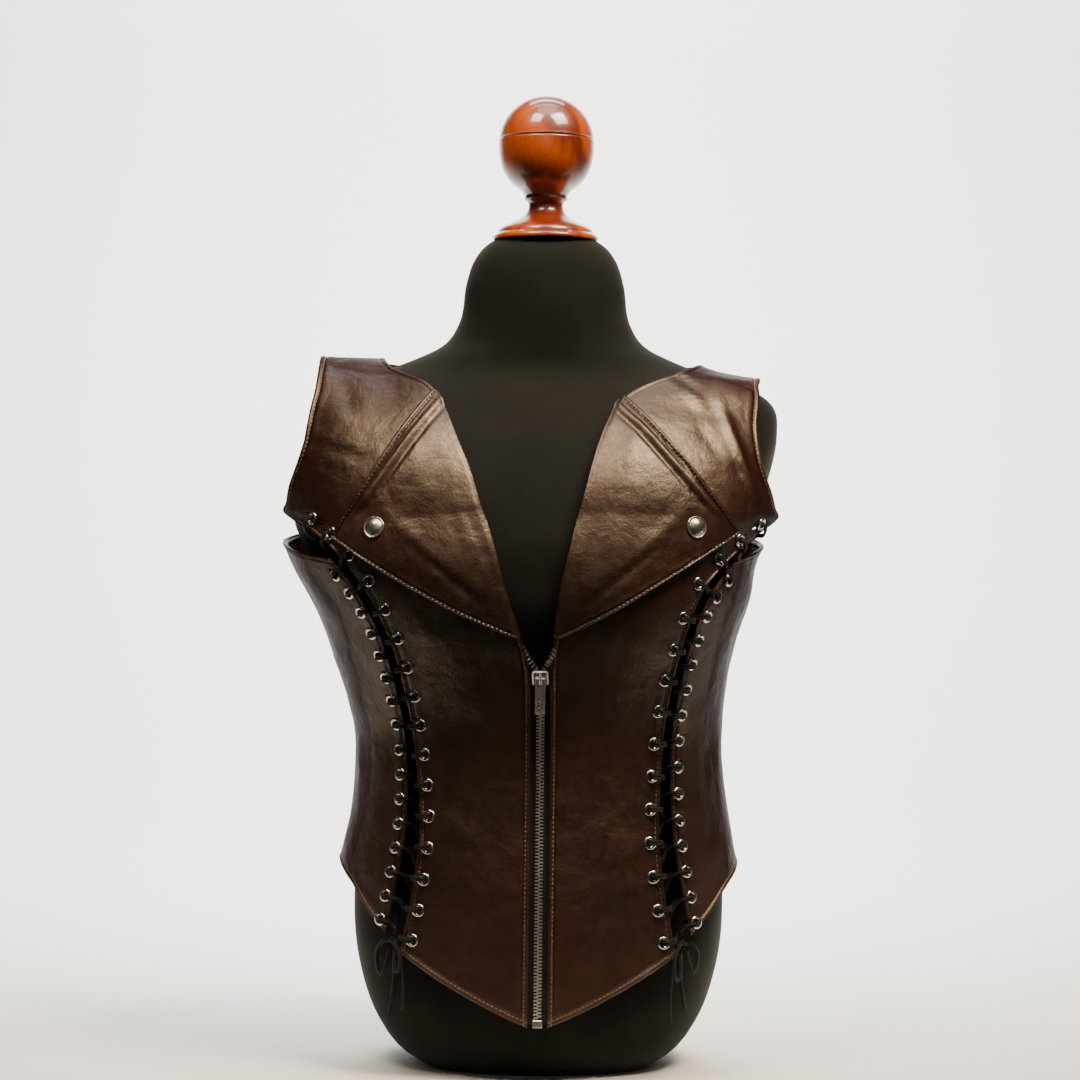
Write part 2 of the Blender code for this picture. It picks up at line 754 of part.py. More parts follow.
def make_snap(side, lapel, metal):
    """The domed cap of the press stud at the lapel's tip."""
    across, height = SNAP[side]
    here = on_front(side, across, height)
    step = 3.0
    along = on_front(side, across, height + step) - here
    over = on_front(side, across + step, height) - here
    outward = unit(np.cross(over, along) * SIDES[side])
    if outward[1] > 0:
        outward = -outward
    foot = here + outward * (LAPEL_LAYER + LAPEL_GAP + 2 * SEAM_GAP)
    profile = [(0.0, 0.0), (SNAP_RADIUS - 0.6, 0.0), (SNAP_RADIUS, 0.5), (SNAP_RADIUS - 0.5, 1.3)]
    profile += [(SNAP_RADIUS * 0.75, 1.0 + SNAP_DOME * 0.62), (SNAP_RADIUS * 0.4, 0.6 + SNAP_DOME)]
    profile += [(0.0, 0.8 + SNAP_DOME)]
    seat(spun(f"snap_{side}", profile, 16, metal, place=foot, axis=outward), lapel, outward)


def make_eyelets(side, front, metal):
    """Flat rolled rings round the holes of a front."""
    for count, (middle, _, outward) in enumerate(eyelets(side, "front"), start=1):
        foot = middle + outward * EYELET_SEAT
        inner, outer = EYELET_HOLE + 0.15, EYELET_RIM
        profile = [(inner, 0.0), (outer, 0.0), ((inner + outer) / 2, EYELET_HEIGHT), (inner, 0.0)]
        seat(ring_of(f"eyelet_{side}_{count:02d}", profile, 7, metal, foot, outward), front, outward)


def ring_of(name, profile, segments, finish, place, axis):
    """A closed ring turned from a closed profile of radius and height."""
    turn_to = Vector((0, 0, 1)).rotation_difference(Vector(axis)).to_matrix()
    place = Vector(place)
    profile = profile[:-1]
    count = len(profile)
    points, faces = [], []
    for k in range(segments):
        turn = 2 * math.pi * k / segments
        for radius, height in profile:
            spoke = Vector((radius * math.cos(turn), radius * math.sin(turn), height))
            points.append(tuple(place + turn_to @ spoke))
    for k in range(segments):
        for p in range(count):
            a, b = k * count + p, k * count + (p + 1) % count
            c, d = (k + 1) % segments * count + (p + 1) % count, (k + 1) % segments * count + p
            faces.append((a, b, c, d))
    return solid(name, points, faces, finish)


def blend_path(points, spacing=4.0):
    """Points along a smooth curve through the given ones, evenly apart."""
    points = np.array(points, float)
    ghost = np.vstack([2 * points[0] - points[1], points, 2 * points[-1] - points[-2]])
    fine = []
    for a, b, c, d in zip(ghost, ghost[1:], ghost[2:], ghost[3:]):
        for t in np.linspace(0, 1, 12, endpoint=False):
            bend, twist = 2 * a - 5 * b + 4 * c - d, 3 * b - a - 3 * c + d
            fine.append(0.5 * (2 * b + (c - a) * t + bend * t**2 + twist * t**3))
    fine.append(points[-1])
    fine = np.array(fine)
    along = np.concatenate([[0], np.cumsum(np.linalg.norm(np.diff(fine, axis=0), axis=1))])
    wanted = np.linspace(0, along[-1], max(int(along[-1] / spacing), 3) + 1)
    return np.stack([np.interp(wanted, along, fine[:, k]) for k in range(3)], axis=1)


def lace_route(side):
    """One lace down a side: up a front's hole, over its edge, under the side panel, and up its hole."""
    over = EYELET_SEAT + EYELET_HEIGHT + LACE_RADIUS + LACE_CLEAR
    under = LEATHER + LACE_RADIUS + LACE_CLEAR
    holes = [hole for pair in zip(eyelets(side, "front"), eyelets(side, "side")) for hole in pair]
    route = []
    for i, (middle, to_edge, out) in enumerate(holes):
        edge = middle + to_edge * EYELET_INSET
        gap = edge + to_edge * GAP_STEP - out * GAP_DEPTH - np.array([0, 0, GAP_DROP])
        route += [middle - out * under, middle + out * over, edge + to_edge * 0.5 + out * over * 0.92, gap]
        if i + 1 < len(holes):
            next_middle, next_edge, next_out = holes[i + 1]
            below = next_middle + next_edge * (EYELET_INSET - 2.5) - next_out * (under + UNDER_SAG)
            if gap[2] - below[2] > STEEP_LACE:
                route.append((gap + below) / 2 - next_out * STEEP_SAG)
            route.append(below)
    route.append(route[-1] - np.array([0, 0, LACE_END_DROP]))
    return route


def make_laces(side, cord):
    """The long lace, the knot with its two loops at the hem, and the two free ends."""
    route = lace_route(side)
    tube(f"lace_{side}", route, LACE_RADIUS, cord, sides=5)
    knot = np.array(route[-1]) - np.array([0, 0, KNOT_RADIUS + SEAM_GAP])
    away = unit(np.array([knot[0], knot[1], 0]))
    along = np.array([-away[1], away[0], 0])
    up = np.array([0, 0, 1])
    bow = spun(f"bow_{side}", ball_profile(KNOT_RADIUS), 8, cord, place=knot)
    for way, (wide, deep) in zip((-1, 1), LOOPS):
        loop = [
            knot + along * way * a * wide + away * out - up * down * deep
            for a, out, down in LOOP_SHAPE
        ]
        boolean(bow, tube("loop", blend_path(loop, 5.0), LACE_RADIUS, cord), "UNION")
    for count, (sideways, length) in enumerate(TAILS, start=1):
        start = knot + along * sideways * 0.35 - away * 1.4 - np.array([0, 0, KNOT_RADIUS - 0.1])
        tail = [
            start + along * sideways * s**0.7 - away * TAIL_BEND * math.sin(math.pi * s) - up * length * s
            for s in np.linspace(0, 1, 7)
        ]
        tube(f"lace_end_{side}_{count}", blend_path(tail, 7.0), LACE_RADIUS, cord)


def ball_profile(radius, steps=5):
    turns = [math.pi * (step / steps - 0.5) for step in range(steps + 1)]
    middle = [(radius * math.cos(t), radius * math.sin(t)) for t in turns[1:-1]]
    return [(0.0, -radius), *middle, (0.0, radius)]


def zip_middle(level):
    """The zip's middle on the fronts' outer face, with the ways up and out there."""
    here = cloth("left", 0, level)
    up = unit(cloth("left", 0, level + 4) - cloth("left", 0, level - 4))
    return here, up, unit(np.cross((1, 0, 0), up))


def make_tape(side, cloth_finish):
    """Woven tape behind the fronts' edges, parting above the slider."""
    grid = []
    for level in np.linspace(FRONT_TIP + 2, ZIP_TOP - 2, 14):
        parted = max(0.0, level - SLIDER_LEVEL - 5) / (ZIP_TOP - SLIDER_LEVEL - 5)
        inner = 0.3 + ZIP_PARTED[side] * parted**0.8
        outer = max(TAPE_WIDTH, inner + 5)
        grid.append([cloth(side, around_of(side, a, level), level) for a in np.linspace(inner, outer, 4)])
    wall(f"zip_tape_{side}", np.array(grid), TAPE_THICKNESS, cloth_finish, lift=-TAPE_DEPTH)


def block(name, middle, size, up, out, finish, bevel=0.0):
    """A box of a given size along X, up and out, with its edges rounded."""
    mesh = bpy.data.meshes.new(name)
    shape = bmesh.new()
    bmesh.ops.create_cube(shape, size=1.0)
    across = np.array([1.0, 0, 0])
    turn_to = Matrix((across * size[0], up * size[1], out * size[2])).transposed()
    for vertex in shape.verts:
        vertex.co = turn_to @ vertex.co + Vector(middle)
    shape.normal_update()
    if bevel:
        bmesh.ops.bevel(shape, geom=shape.edges, offset=bevel, segments=1, affect="EDGES")
    bmesh.ops.scale(shape, vec=(MM, MM, MM), verts=shape.verts)
    shape.to_mesh(mesh)
    shape.free()
    mesh.materials.append(finish)
    made = bpy.data.objects.new(name, mesh)
    bpy.context.scene.collection.objects.link(made)
    return made


def make_chain(metal):
    """The closed teeth as one ribbed bar, and the box that holds their lower end."""
    points, faces = [], []
    levels = np.linspace(FRONT_TIP + ZIP_BOX[1] + SEAM_GAP, SLIDER_LEVEL - SLIDER[1] / 2 - SEAM_GAP, 14)
    back, front = TAPE_DEPTH - SEAM_GAP, TAPE_DEPTH - SEAM_GAP - CHAIN_THICKNESS
    for level in levels:
        here, _, out = zip_middle(level)
        near = front + 0.6
        for across, depth in ((-1, back), (-1, near), (-0.6, front), (0.6, front), (1, near), (1, back)):
            points.append(here + np.array([across * CHAIN_WIDTH / 2, 0, 0]) - out * depth)
    for ring in range(len(levels) - 1):
        for k in range(6):
            a, b = ring * 6 + k, ring * 6 + (k + 1) % 6
            faces.append((a, b, b + 6, a + 6))
    faces += [tuple(range(6)), tuple(range(len(points) - 6, len(points)))]
    solid("zip_chain", points, faces, metal)
    here, up, out = zip_middle(FRONT_TIP + ZIP_BOX[1] / 2)
    block("zip_box", here - out * (LEATHER - ZIP_BOX[2] / 2), ZIP_BOX, up, out, metal, bevel=0.5)


def make_slider(metal):
    """The slider's body with the arch that carries the pull tab. Gives the hinge's place."""
    here, up, out = zip_middle(SLIDER_LEVEL)
    rise = SLIDER[2] - LEATHER
    body = block("zip_slider", here + out * (rise - SLIDER[2] / 2), SLIDER, up, out, metal, bevel=0.9)
    hollow = here + out * (rise + ARCH_HOLLOW[1] / 2)
    outer_size = (ARCH_WIDTH, ARCH_HOLLOW[0] + 2 * ARCH_BAR, ARCH_HOLLOW[1] + ARCH_BAR + 1.0)
    arch = block("arch", hollow + out * (ARCH_BAR - 1.0) / 2, outer_size, up, out, metal, bevel=0.45)
    boolean(arch, block("gap", hollow, (9, *ARCH_HOLLOW), up, out, metal), "DIFFERENCE")
    boolean(body, arch, "UNION")
    return hollow


def make_pull(hinge, metal):
    """The pull tab, hanging straight down from the slider's arch."""
    up, out = np.array([0, 0, 1.0]), np.array([0, -1.0, 0])
    length = PULL[1]
    middle = hinge - up * (length / 2 - PULL_BAR / 2)
    pull = block("zip_pull", middle, PULL, up, out, metal, bevel=0.3)
    eye_top, eye_low = PULL_BAR / 2, PULL_EYE[1] + PULL_BAR / 2
    eye_size = (PULL_EYE[0], eye_low - eye_top, 4)
    eye = block("eye", hinge - up * (eye_top + eye_low) / 2, eye_size, up, out, metal)
    boolean(pull, eye, "DIFFERENCE")
    slot = block("slot", hinge - up * (length - PULL_SLOT[1] / 2 - 3.2), (*PULL_SLOT, 4), up, out, metal)
    boolean(pull, slot, "DIFFERENCE")
    turned = Vector(hinge * MM)
    for vertex in pull.data.vertices:
        vertex.co -= turned
    pull.location = turned


def main():
    clear_scene()
    leather = material("leather_brown", (0.07, 0.035, 0.022), 0.4)
    jersey = material("jersey_black", (0.012, 0.012, 0.01), 0.9)
    wood = material("wood_varnished", (0.42, 0.1, 0.02), 0.15)
    nickel = material("nickel", (0.72, 0.7, 0.68), 0.25, 1.0)
    cord = material("lace_black", (0.01, 0.01, 0.01), 0.8)
    tape = material("tape_black", (0.012, 0.011, 0.011), 0.8)

    make_form(jersey)
    make_finial(wood)
    for side in SIDES:
        front = wall(f"front_panel_{side}", front_grid(side), LEATHER, leather)
        cut_eyelets(front, side, "front")
        beside = wall(f"side_panel_{side}", side_grid(side), LEATHER, leather)
        cut_eyelets(beside, side, "side")
        make_snap(side, make_lapel(side, front, leather), nickel)
        make_eyelets(side, front, nickel)
        make_laces(side, cord)
        make_tape(side, tape)
    wall("back_panel", back_grid(), LEATHER, leather)
    make_chain(nickel)
    make_pull(make_slider(nickel), nickel)


main()
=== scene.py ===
"""The finish of a laced corset vest of brown leather, worn by a limbless dress form with a wooden finial.

Sizes are millimetres, as the garment's maker has them, and MM turns them to metres where a mesh is made.
X runs to the wearer's left, the front faces -Y and Z is up.
"""

import math
from contextlib import contextmanager

import bmesh
import bpy
import numpy as np
from mathutils import Matrix, Vector, noise


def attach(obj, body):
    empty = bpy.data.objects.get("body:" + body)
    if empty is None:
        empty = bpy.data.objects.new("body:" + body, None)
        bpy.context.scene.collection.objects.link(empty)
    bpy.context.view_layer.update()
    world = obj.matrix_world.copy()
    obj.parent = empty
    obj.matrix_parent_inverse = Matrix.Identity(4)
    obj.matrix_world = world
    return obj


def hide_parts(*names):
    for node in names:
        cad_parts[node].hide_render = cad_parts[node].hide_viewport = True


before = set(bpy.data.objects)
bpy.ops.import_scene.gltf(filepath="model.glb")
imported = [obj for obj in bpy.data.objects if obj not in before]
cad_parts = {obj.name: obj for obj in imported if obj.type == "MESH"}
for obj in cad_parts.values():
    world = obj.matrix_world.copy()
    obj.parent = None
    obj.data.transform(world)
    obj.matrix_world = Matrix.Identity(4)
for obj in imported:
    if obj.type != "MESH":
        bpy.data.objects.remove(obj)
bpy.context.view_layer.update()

MM = 0.001
SIDES = {"right": -1, "left": 1}
BACK_MIDDLE = 180.0
BODY = "vest_and_form"


def smooth(knots, values, at):
    """A curve without overshoot through the knots, read at any value."""
    steps = np.diff(values) / np.diff(knots)
    slopes = np.concatenate([[steps[0]], (steps[1:] + steps[:-1]) / 2, [steps[-1]]])
    slopes[1:-1][steps[1:] * steps[:-1] <= 0] = 0
    limit = 3 * np.minimum(np.abs(np.append(steps, steps[-1])), np.abs(np.insert(steps, 0, steps[0])))
    slopes = np.clip(slopes, -limit, limit)
    at = min(max(at, knots[0]), knots[-1])
    i = min(int(np.searchsorted(knots, at, side="right")) - 1, len(steps) - 1)
    span = knots[i + 1] - knots[i]
    s = (at - knots[i]) / span
    return float(
        values[i] * (1 + 2 * s) * (1 - s) ** 2
        + slopes[i] * span * s * (1 - s) ** 2
        + values[i + 1] * s * s * (3 - 2 * s)
        + slopes[i + 1] * span * s * s * (s - 1)
    )


class Table:
    """Rows of sizes with named columns, read along the first column."""

    def __init__(self, columns, *rows):
        self.columns = columns.split()
        self.rows = np.array(rows, float)

    def read(self, column, at):
        return smooth(self.rows[:, 0], self.rows[:, self.columns.index(column)], at)


LEATHER = 2.0  # shell leather with its turned and glued lining
SEAM_GAP = 0.35  # clear space between neighbouring pieces
FORM_CLEARANCE = 2.8  # the shoulders rest this close to the form, a little more at their corners

SHOULDER_BASE = 402.0  # level of the armhole corners, where the shoulder arches start
ARCH_POWER = 1.25  # over 1 gives a straighter chest and a tighter turn over the shoulder
SHOULDER_SEAM = 102.0  # degrees over the arch: the seam lies just behind the top of the shoulder

FRONT_TIP = 41.0  # lowest level of the hem, beside the zip
FRONT_CORNER = 90.0  # level of the hem at the front's lacing edge
ZIP_HALF_GAP = 7.0  # from the zip's middle to each leather edge
ZIP_TOP = 311.0

MID_LEVEL = 250.0  # where the search for a point's level starts
EYELETS = {"right": 16, "left": 15}
EYELET_TOP, EYELET_BOTTOM = 391.5, 101.0  # levels of the laced edge beside the end eyelets
SIDE_EYELET_TOP, SIDE_EYELET_BOTTOM = 363.0, 111.0
EYELET_INSET = 7.4
EYELET_HOLE = 2.7
EYELET_RIM = 4.85
EYELET_HEIGHT = 0.9
EYELET_SEAT = 0.85  # clears the facets round the hole
LACE_RADIUS = 1.5
LACE_CLEAR = 0.8
GAP_STEP, GAP_DEPTH, GAP_DROP = 3.2, 4.4, 2.0  # where a strand goes down: past the edge, under it, lower
STEEP_LACE, STEEP_SAG = 20.0, 3.6  # a strand that drops this far in a gap hangs this much deeper
TAIL_BEND = 2.4  # how far the lace ends lean in to the form
UNDER_SAG = 1.8
LACE_END_DROP = 6.5  # from the last strand down to the knot

FORM = Table(
    "height right left front back squareness",
    (0, 84, 84, 68, 76, 2.3),
    (10, 100, 100, 80, 88, 2.3),
    (32, 117, 117, 91, 98, 2.3),
    (70, 131, 131, 97, 102, 2.3),
    (115, 136, 136, 97, 99, 2.3),
    (150, 135, 135, 95, 94, 2.3),
    (190, 127, 127, 93, 86, 2.3),
    (232, 122, 122, 93, 82, 2.3),
    (265, 127, 125, 98, 83, 2.35),
    (300, 138, 131, 110, 87, 2.4),
    (345, 160, 142, 122, 93, 2.5),
    (375, 174, 147, 121, 97, 2.5),
    (402, 184, 156, 114, 99, 2.45),
    (430, 173, 166, 103, 98, 2.4),
    (455, 166, 172, 89, 92, 2.3),
    (472, 162, 173, 76, 84, 2.25),
    (490, 156, 165, 62, 72, 2.2),
    (500, 143, 146, 53, 62, 2.15),
    (508, 120, 120, 48, 57, 2.1),
    (518, 94, 94, 46, 56, 2.05),
    (527, 76, 76, 46, 56, 2.0),
    (543, 64, 64, 46, 55, 2.0),
    (575, 58, 58, 43, 52, 2.0),
    (592, 52, 52, 39, 48, 2.0),
    (602, 44, 44, 33, 42, 2.0),
    (606, 38, 38, 28, 37, 2.0),
)

VEST = Table(
    "height middle right left front back squareness",
    (41, 0, 150, 150, 109, 106, 2.3),
    (110, 0, 149.5, 149.5, 108, 106, 2.3),
    (148, 0, 146.5, 146.5, 106, 103, 2.3),
    (184, 0, 139.3, 139.3, 103, 97, 2.3),
    (211, 0, 136.2, 135.4, 102, 94, 2.3),
    (237, 0, 135.5, 133.3, 103, 92.5, 2.3),
    (264, 0, 141.2, 134, 108, 93, 2.35),
    (290, -0.5, 150, 138.5, 116, 95, 2.4),
    (317, -1.5, 158, 146.7, 126, 98, 2.45),
    (344, -3, 169.9, 156.8, 132, 101, 2.5),
    (362, -3.5, 179.5, 160, 133, 103, 2.5),
    (380, -3.5, 187, 165.4, 131, 105, 2.5),
    (402, -3.5, 190, 180, 125, 107, 2.45),
)

SHOULDER_TOP = Table(
    "across right left",
    (40, 529, 524),
    (75, 528, 521),
    (115, 518, 513.5),
    (163, 518.5, 505),
)

# Edges of the panels: how far each lies from the middle at a level, or at degrees up the arch.
LACING_EDGE = Table(
    "level right left",
    (90, 98, 98),
    (145, 88, 88),
    (180, 85, 85),
    (216, 87, 86),
    (264, 94, 90),
    (317, 107.5, 103.5),
    (352, 124, 119),
    (379, 147.5, 144),
    (389, 160, 156),
    (395, 169.5, 165),
)
LACING_GAP = Table(
    "level gap",
    (90, 16),
    (145, 14),
    (180, 11),
    (216, 8),
    (264, 6.5),
    (330, 7),
    (365, 9),
    (402, 13),
)
ROLL_LINE = Table(
    "level right left",
    (285, 7, 7),
    (300, 8.5, 8),
    (311, 11, 9),
    (337, 18.2, 13.5),
    (357, 23.8, 17.5),
    (377, 29, 22.2),
    (402, 37, 28),
)
NECK_EDGE = Table(
    "degrees right left",
    (0, 37, 28),
    (19.3, 47.9, 36.5),
    (30.6, 57.7, 43),
    (40.4, 65.7, 50.5),
    (50.2, 74, 59.8),
    (60.2, 93, 86),
    (66, 102.5, 101),
    (74, 109.5, 110.5),
    (90, 114, 118),
    (102, 115.5, 119),
)
ARMHOLE_EDGE = Table(
    "degrees right left",
    (0, 184, 174),
    (14.7, 180, 168.5),
    (24, 173, 163),
    (33.5, 168.5, 159.5),
    (43.4, 166, 158),
    (54.6, 163, 158.5),
    (90, 161.5, 163.5),
    (102, 161, 164),
)
BACK_SEAM = Table("level across", (100, 98), (150, 94), (232, 86), (300, 98), (360, 122), (402, 140))
BACK_ARMHOLE = Table("degrees across", (0, 142), (22, 143), (45, 149), (78, 161))
SIDE_HEM = Table(
    "around level",
    (38, 96),
    (45, 105.5),
    (52, 116.6),
    (62, 133),
    (75, 144),
    (90, 149),
    (130, 149),
    (180, 138),
)
SIDE_TOP = Table("around level", (50, 370), (62, 373), (80, 380), (110, 388), (140, 399))

# Long soft folds of the side panels: a ridge of this height and half-width along a slanting line.
FOLDS = Table(
    "around low high half_width height lean",
    (58, 150, 330, 5, 1.4, 6),
    (70, 160, 300, 4.5, 1.6, -5),
    (84, 120, 350, 6, 1.3, 8),
    (104, 150, 300, 6, 1.2, -6),
)

LAPEL_TIP = {"right": (143.6, 384.5), "left": (141.0, 392.5)}
LAPEL_LOW_EDGE_SAG = 3.0
SNAP = {"right": (114.0, 393.0), "left": (111.5, 394.0)}
SNAP_RADIUS = 7.8
SNAP_DOME = 2.6

KNOT_RADIUS = 4.2
LOOPS = ((15, 24), (13, 20))  # width and depth of each loop of the bow
LOOP_SHAPE = (
    # along, out and down: shares of the loop's width, millimetres, shares of its depth
    (0.12, 1.0, 0.0),
    (0.55, 4.4, 0.0),
    (1.0, 5.4, 0.35),
    (0.95, 5.0, 0.85),
    (0.6, 4.6, 1.0),
    (0.38, 4.2, 0.7),
    (0.3, 2.4, 0.25),
)
TAILS = ((-7.0, 52.0), (6.0, 44.0))  # sideways drift and length of each free end

SLIDER_LEVEL = 288.0
SLIDER = (11.5, 10.7, 4.0)  # across, along and through the zip
CHAIN_THICKNESS = 2.6
ZIP_BOX = (6.8, 5.4, 3.2)
TAPE_WIDTH, TAPE_THICKNESS, TAPE_DEPTH = 14.0, 0.8, 2.8
ZIP_PARTED = {"right": 11.5, "left": 10.0}  # how far the tape's edges part at the top

BALL_RADIUS = 35.3
BALL_MIDDLE = 72.5
GROOVE_DEPTH = 0.9


def signed_power(value, power):
    return math.copysign(abs(value) ** power, value)


def unit(vector):
    return vector / max(np.linalg.norm(vector), 1e-9)


def run_of(points):
    """How far along its path each point lies."""
    return np.concatenate([[0], np.cumsum(np.linalg.norm(np.diff(points, axis=0), axis=1))])


def read_along(wanted, run, values):
    """Points or ways read at places along a path."""
    return np.array([np.interp(wanted, run, values[:, k]) for k in range(3)]).T


def spline(a, b, c, d, t):
    """A smooth curve from b to c, with a before them and d after."""
    bend = (2 * a - 5 * b + 4 * c - d) * t**2 + (3 * b - a - 3 * c + d) * t**3
    return 0.5 * (2 * b + (c - a) * t + bend)


def form_reach(point):
    """How far outside the form's skin a point lies, and the way out, to first order."""

    def share(p):
        z = p[2]
        n = FORM.read("squareness", z)
        depth = FORM.read("front" if p[1] < 0 else "back", z)
        width = FORM.read("right" if p[0] < 0 else "left", z)
        return ((abs(p[0]) / width) ** n + (abs(p[1]) / depth) ** n) ** (1 / n)

    here = share(point)
    slope = np.array([(share(point + step) - share(point - step)) / 0.2 for step in np.eye(3) * 0.1])
    steep = max(np.linalg.norm(slope), 1e-6)
    return (here - 1) / steep, slope / steep


def clear_of_form(point):
    """Moves a point of the vest's outer face out until the leather under it clears the form."""
    wanted = LEATHER + FORM_CLEARANCE
    for _ in range(6):
        reach, outward = form_reach(point)
        if reach >= wanted:
            break
        point = point + outward * (wanted - reach)
    return point


def around_of(side, across, level):
    """Degrees round from the front's middle at which the section is this wide."""
    z = min(level, SHOULDER_BASE)
    share = min(across / VEST.read(side, z), 0.995)
    return math.degrees(math.asin(share ** (VEST.read("squareness", z) / 2)))


def fold_height(around, level):
    """How far the long folds lift the leather here."""
    lift = 0.0
    for middle, low, high, half_width, height, lean in FOLDS.rows:
        s = (level - low) / (high - low)
        if 0 < s < 1:
            off = (around - middle - lean * (s - 0.5)) / half_width
            lift += height * math.sin(math.pi * s) ** 2 * math.exp(-off * off)
    return lift


def cloth(side, around, level):
    """A point of the vest's outer face. Above SHOULDER_BASE the level counts degrees over the arch."""
    z = min(level, SHOULDER_BASE)
    power = 2 / VEST.read("squareness", z)
    turn = math.radians(around)
    width = VEST.read(side, z)
    front, back = VEST.read("front", z), VEST.read("back", z)
    across = width * abs(math.sin(turn)) ** power
    bulge = abs(math.cos(turn)) ** power
    forward = math.cos(turn) >= 0
    y = -front * bulge if forward else back * bulge
    if level > SHOULDER_BASE:
        over = math.radians(level - SHOULDER_BASE)
        shoulder = SHOULDER_TOP.read(side, across) - SHOULDER_BASE
        z = SHOULDER_BASE + shoulder * math.sin(over) ** ARCH_POWER
        lean = signed_power(math.cos(over), ARCH_POWER)
        y = y * lean if lean > 0 else -lean * (back if forward else -front) * bulge
    else:
        lift = fold_height(around, level)
        across += lift * math.sin(turn)
        y -= lift * math.cos(turn)
    middle = VEST.read("middle", z if level <= SHOULDER_BASE else SHOULDER_BASE)
    return clear_of_form(np.array([middle + SIDES[side] * across, y, z]))


def on_front(side, across, height):
    """The front's outer face at a place given as seen from the front."""
    level = height
    if height > SHOULDER_BASE:
        share = (height - SHOULDER_BASE) / (SHOULDER_TOP.read(side, across) - SHOULDER_BASE)
        level = SHOULDER_BASE + math.degrees(math.asin(min(share, 1) ** (1 / ARCH_POWER)))
    return cloth(side, around_of(side, across, level), level)


def grid_normals(grid):
    """Unit normals of a grid of points, facing away from the body's axis."""
    rows = np.gradient(grid, axis=0)
    columns = np.gradient(grid, axis=1)
    normals = np.cross(rows, columns)
    normals /= np.maximum(np.linalg.norm(normals, axis=2, keepdims=True), 1e-9)
    middle = grid.reshape(-1, 3).mean(axis=0) - np.array([0, 0, 300.0])
    middle[2] = max(middle[2], 0)
    facing = (normals.reshape(-1, 3) @ middle).sum()
    return normals if facing > 0 else -normals


def lacing_around(side, level):
    return around_of(side, LACING_EDGE.read(side, level), level)


def side_edge_around(side, level):
    """The side panel's front edge: past the lacing edge by the gap, measured along the leather."""
    start = lacing_around(side, level)
    per_degree = np.linalg.norm(cloth(side, start + 1, level) - cloth(side, start, level))
    return start + LACING_GAP.read("gap", level) / per_degree


def front_inner(side, level):
    """The front's inner edge: beside the zip, up the roll line, and round the neck."""
    if level <= SHOULDER_BASE:
        across = max(ROLL_LINE.read(side, level), ZIP_HALF_GAP)
    else:
        across = NECK_EDGE.read(side, level - SHOULDER_BASE)
    return around_of(side, across + (1.2 if level > ZIP_TOP else 0), level)


def front_outer(side, level):
    if level >= SHOULDER_BASE:
        return around_of(side, ARMHOLE_EDGE.read(side, level - SHOULDER_BASE), level)
    corner = ARMHOLE_EDGE.read(side, 0)
    end_level = LACING_EDGE.rows[-1][0]
    if level > end_level:
        share = (level - end_level) / (SHOULDER_BASE - end_level)
        end = LACING_EDGE.read(side, end_level)
        return around_of(side, end + (corner - end) * share, level)
    return lacing_around(side, level)


def front_grid(side, body_rows, arch_rows, columns):
    """Outer points of a front, from the hem over the shoulder to its seam."""
    rows = []
    for v in np.linspace(0, 1, body_rows) ** 0.92:
        inner = FRONT_TIP + (SHOULDER_BASE - FRONT_TIP) * v
        outer = FRONT_CORNER + (SHOULDER_BASE - FRONT_CORNER) * v
        rows.append((inner, outer))
    arch = np.linspace(0, SHOULDER_SEAM, arch_rows)[1:]
    rows += [(SHOULDER_BASE + a, SHOULDER_BASE + a) for a in arch]
    grid = []
    for inner, outer in rows:
        ends = front_inner(side, inner), front_outer(side, outer)
        line = []
        for u in np.linspace(0, 1, columns):
            line.append(cloth(side, ends[0] + (ends[1] - ends[0]) * u, inner + (outer - inner) * u))
        grid.append(line)
    return np.array(grid)


def side_grid(side, rows, columns):
    """Outer points of a side panel, from its laced edge round under the arm to the back seam."""
    grid = []
    for v in np.linspace(0, 1, rows):
        line = []
        for u in np.linspace(0, 1, columns):
            level = MID_LEVEL
            for _ in range(6):
                edge = side_edge_around(side, min(level, 391.0))
                seam = BACK_MIDDLE - around_of(side, BACK_SEAM.read("across", level), level) - SEAM_GAP / 2
                around = edge + (seam - edge) * u
                low, high = SIDE_HEM.read("level", around), SIDE_TOP.read("level", around)
                level = low + (high - low) * v
            line.append(cloth(side, around, level))
        grid.append(line)
    return np.array(grid)


def back_grid(rows, arch_rows):
    """Outer points of the back, from one side seam to the other and up to the shoulder seams."""
    top = BACK_MIDDLE - SHOULDER_SEAM - 0.5
    shares = np.array([0, 0.16, 0.31, 0.46, 0.6, 0.74, 0.87, 1.0])
    neck_share = shares[4]
    both = [("right", s) for s in shares[::-1]] + [("left", s) for s in shares[1:]]
    grid = []
    for v in np.linspace(0, 1, rows):
        line = []
        for side, share in both:
            level = MID_LEVEL
            for _ in range(6):
                seam = around_of(side, BACK_SEAM.read("across", level), level) - SEAM_GAP / 2
                around = BACK_MIDDLE - seam * share
                low = SIDE_HEM.read("level", around)
                level = low + (SHOULDER_BASE - low) * v
            line.append(cloth(side, around, level))
        grid.append(line)
    for v in np.linspace(0, 1, arch_rows)[1:]:
        line = []
        for side, share in both:
            scoop = 52 + (top - 52) * min(share / neck_share, 1) ** 3
            degrees = scoop * v
            outer = around_of(side, BACK_ARMHOLE.read("across", degrees), SHOULDER_BASE)
            around = BACK_MIDDLE - outer * share
            line.append(cloth(side, around, SHOULDER_BASE + degrees))
        grid.append(line)
    return np.array(grid)


EDGE_OF = {"front": front_outer, "side": side_edge_around}


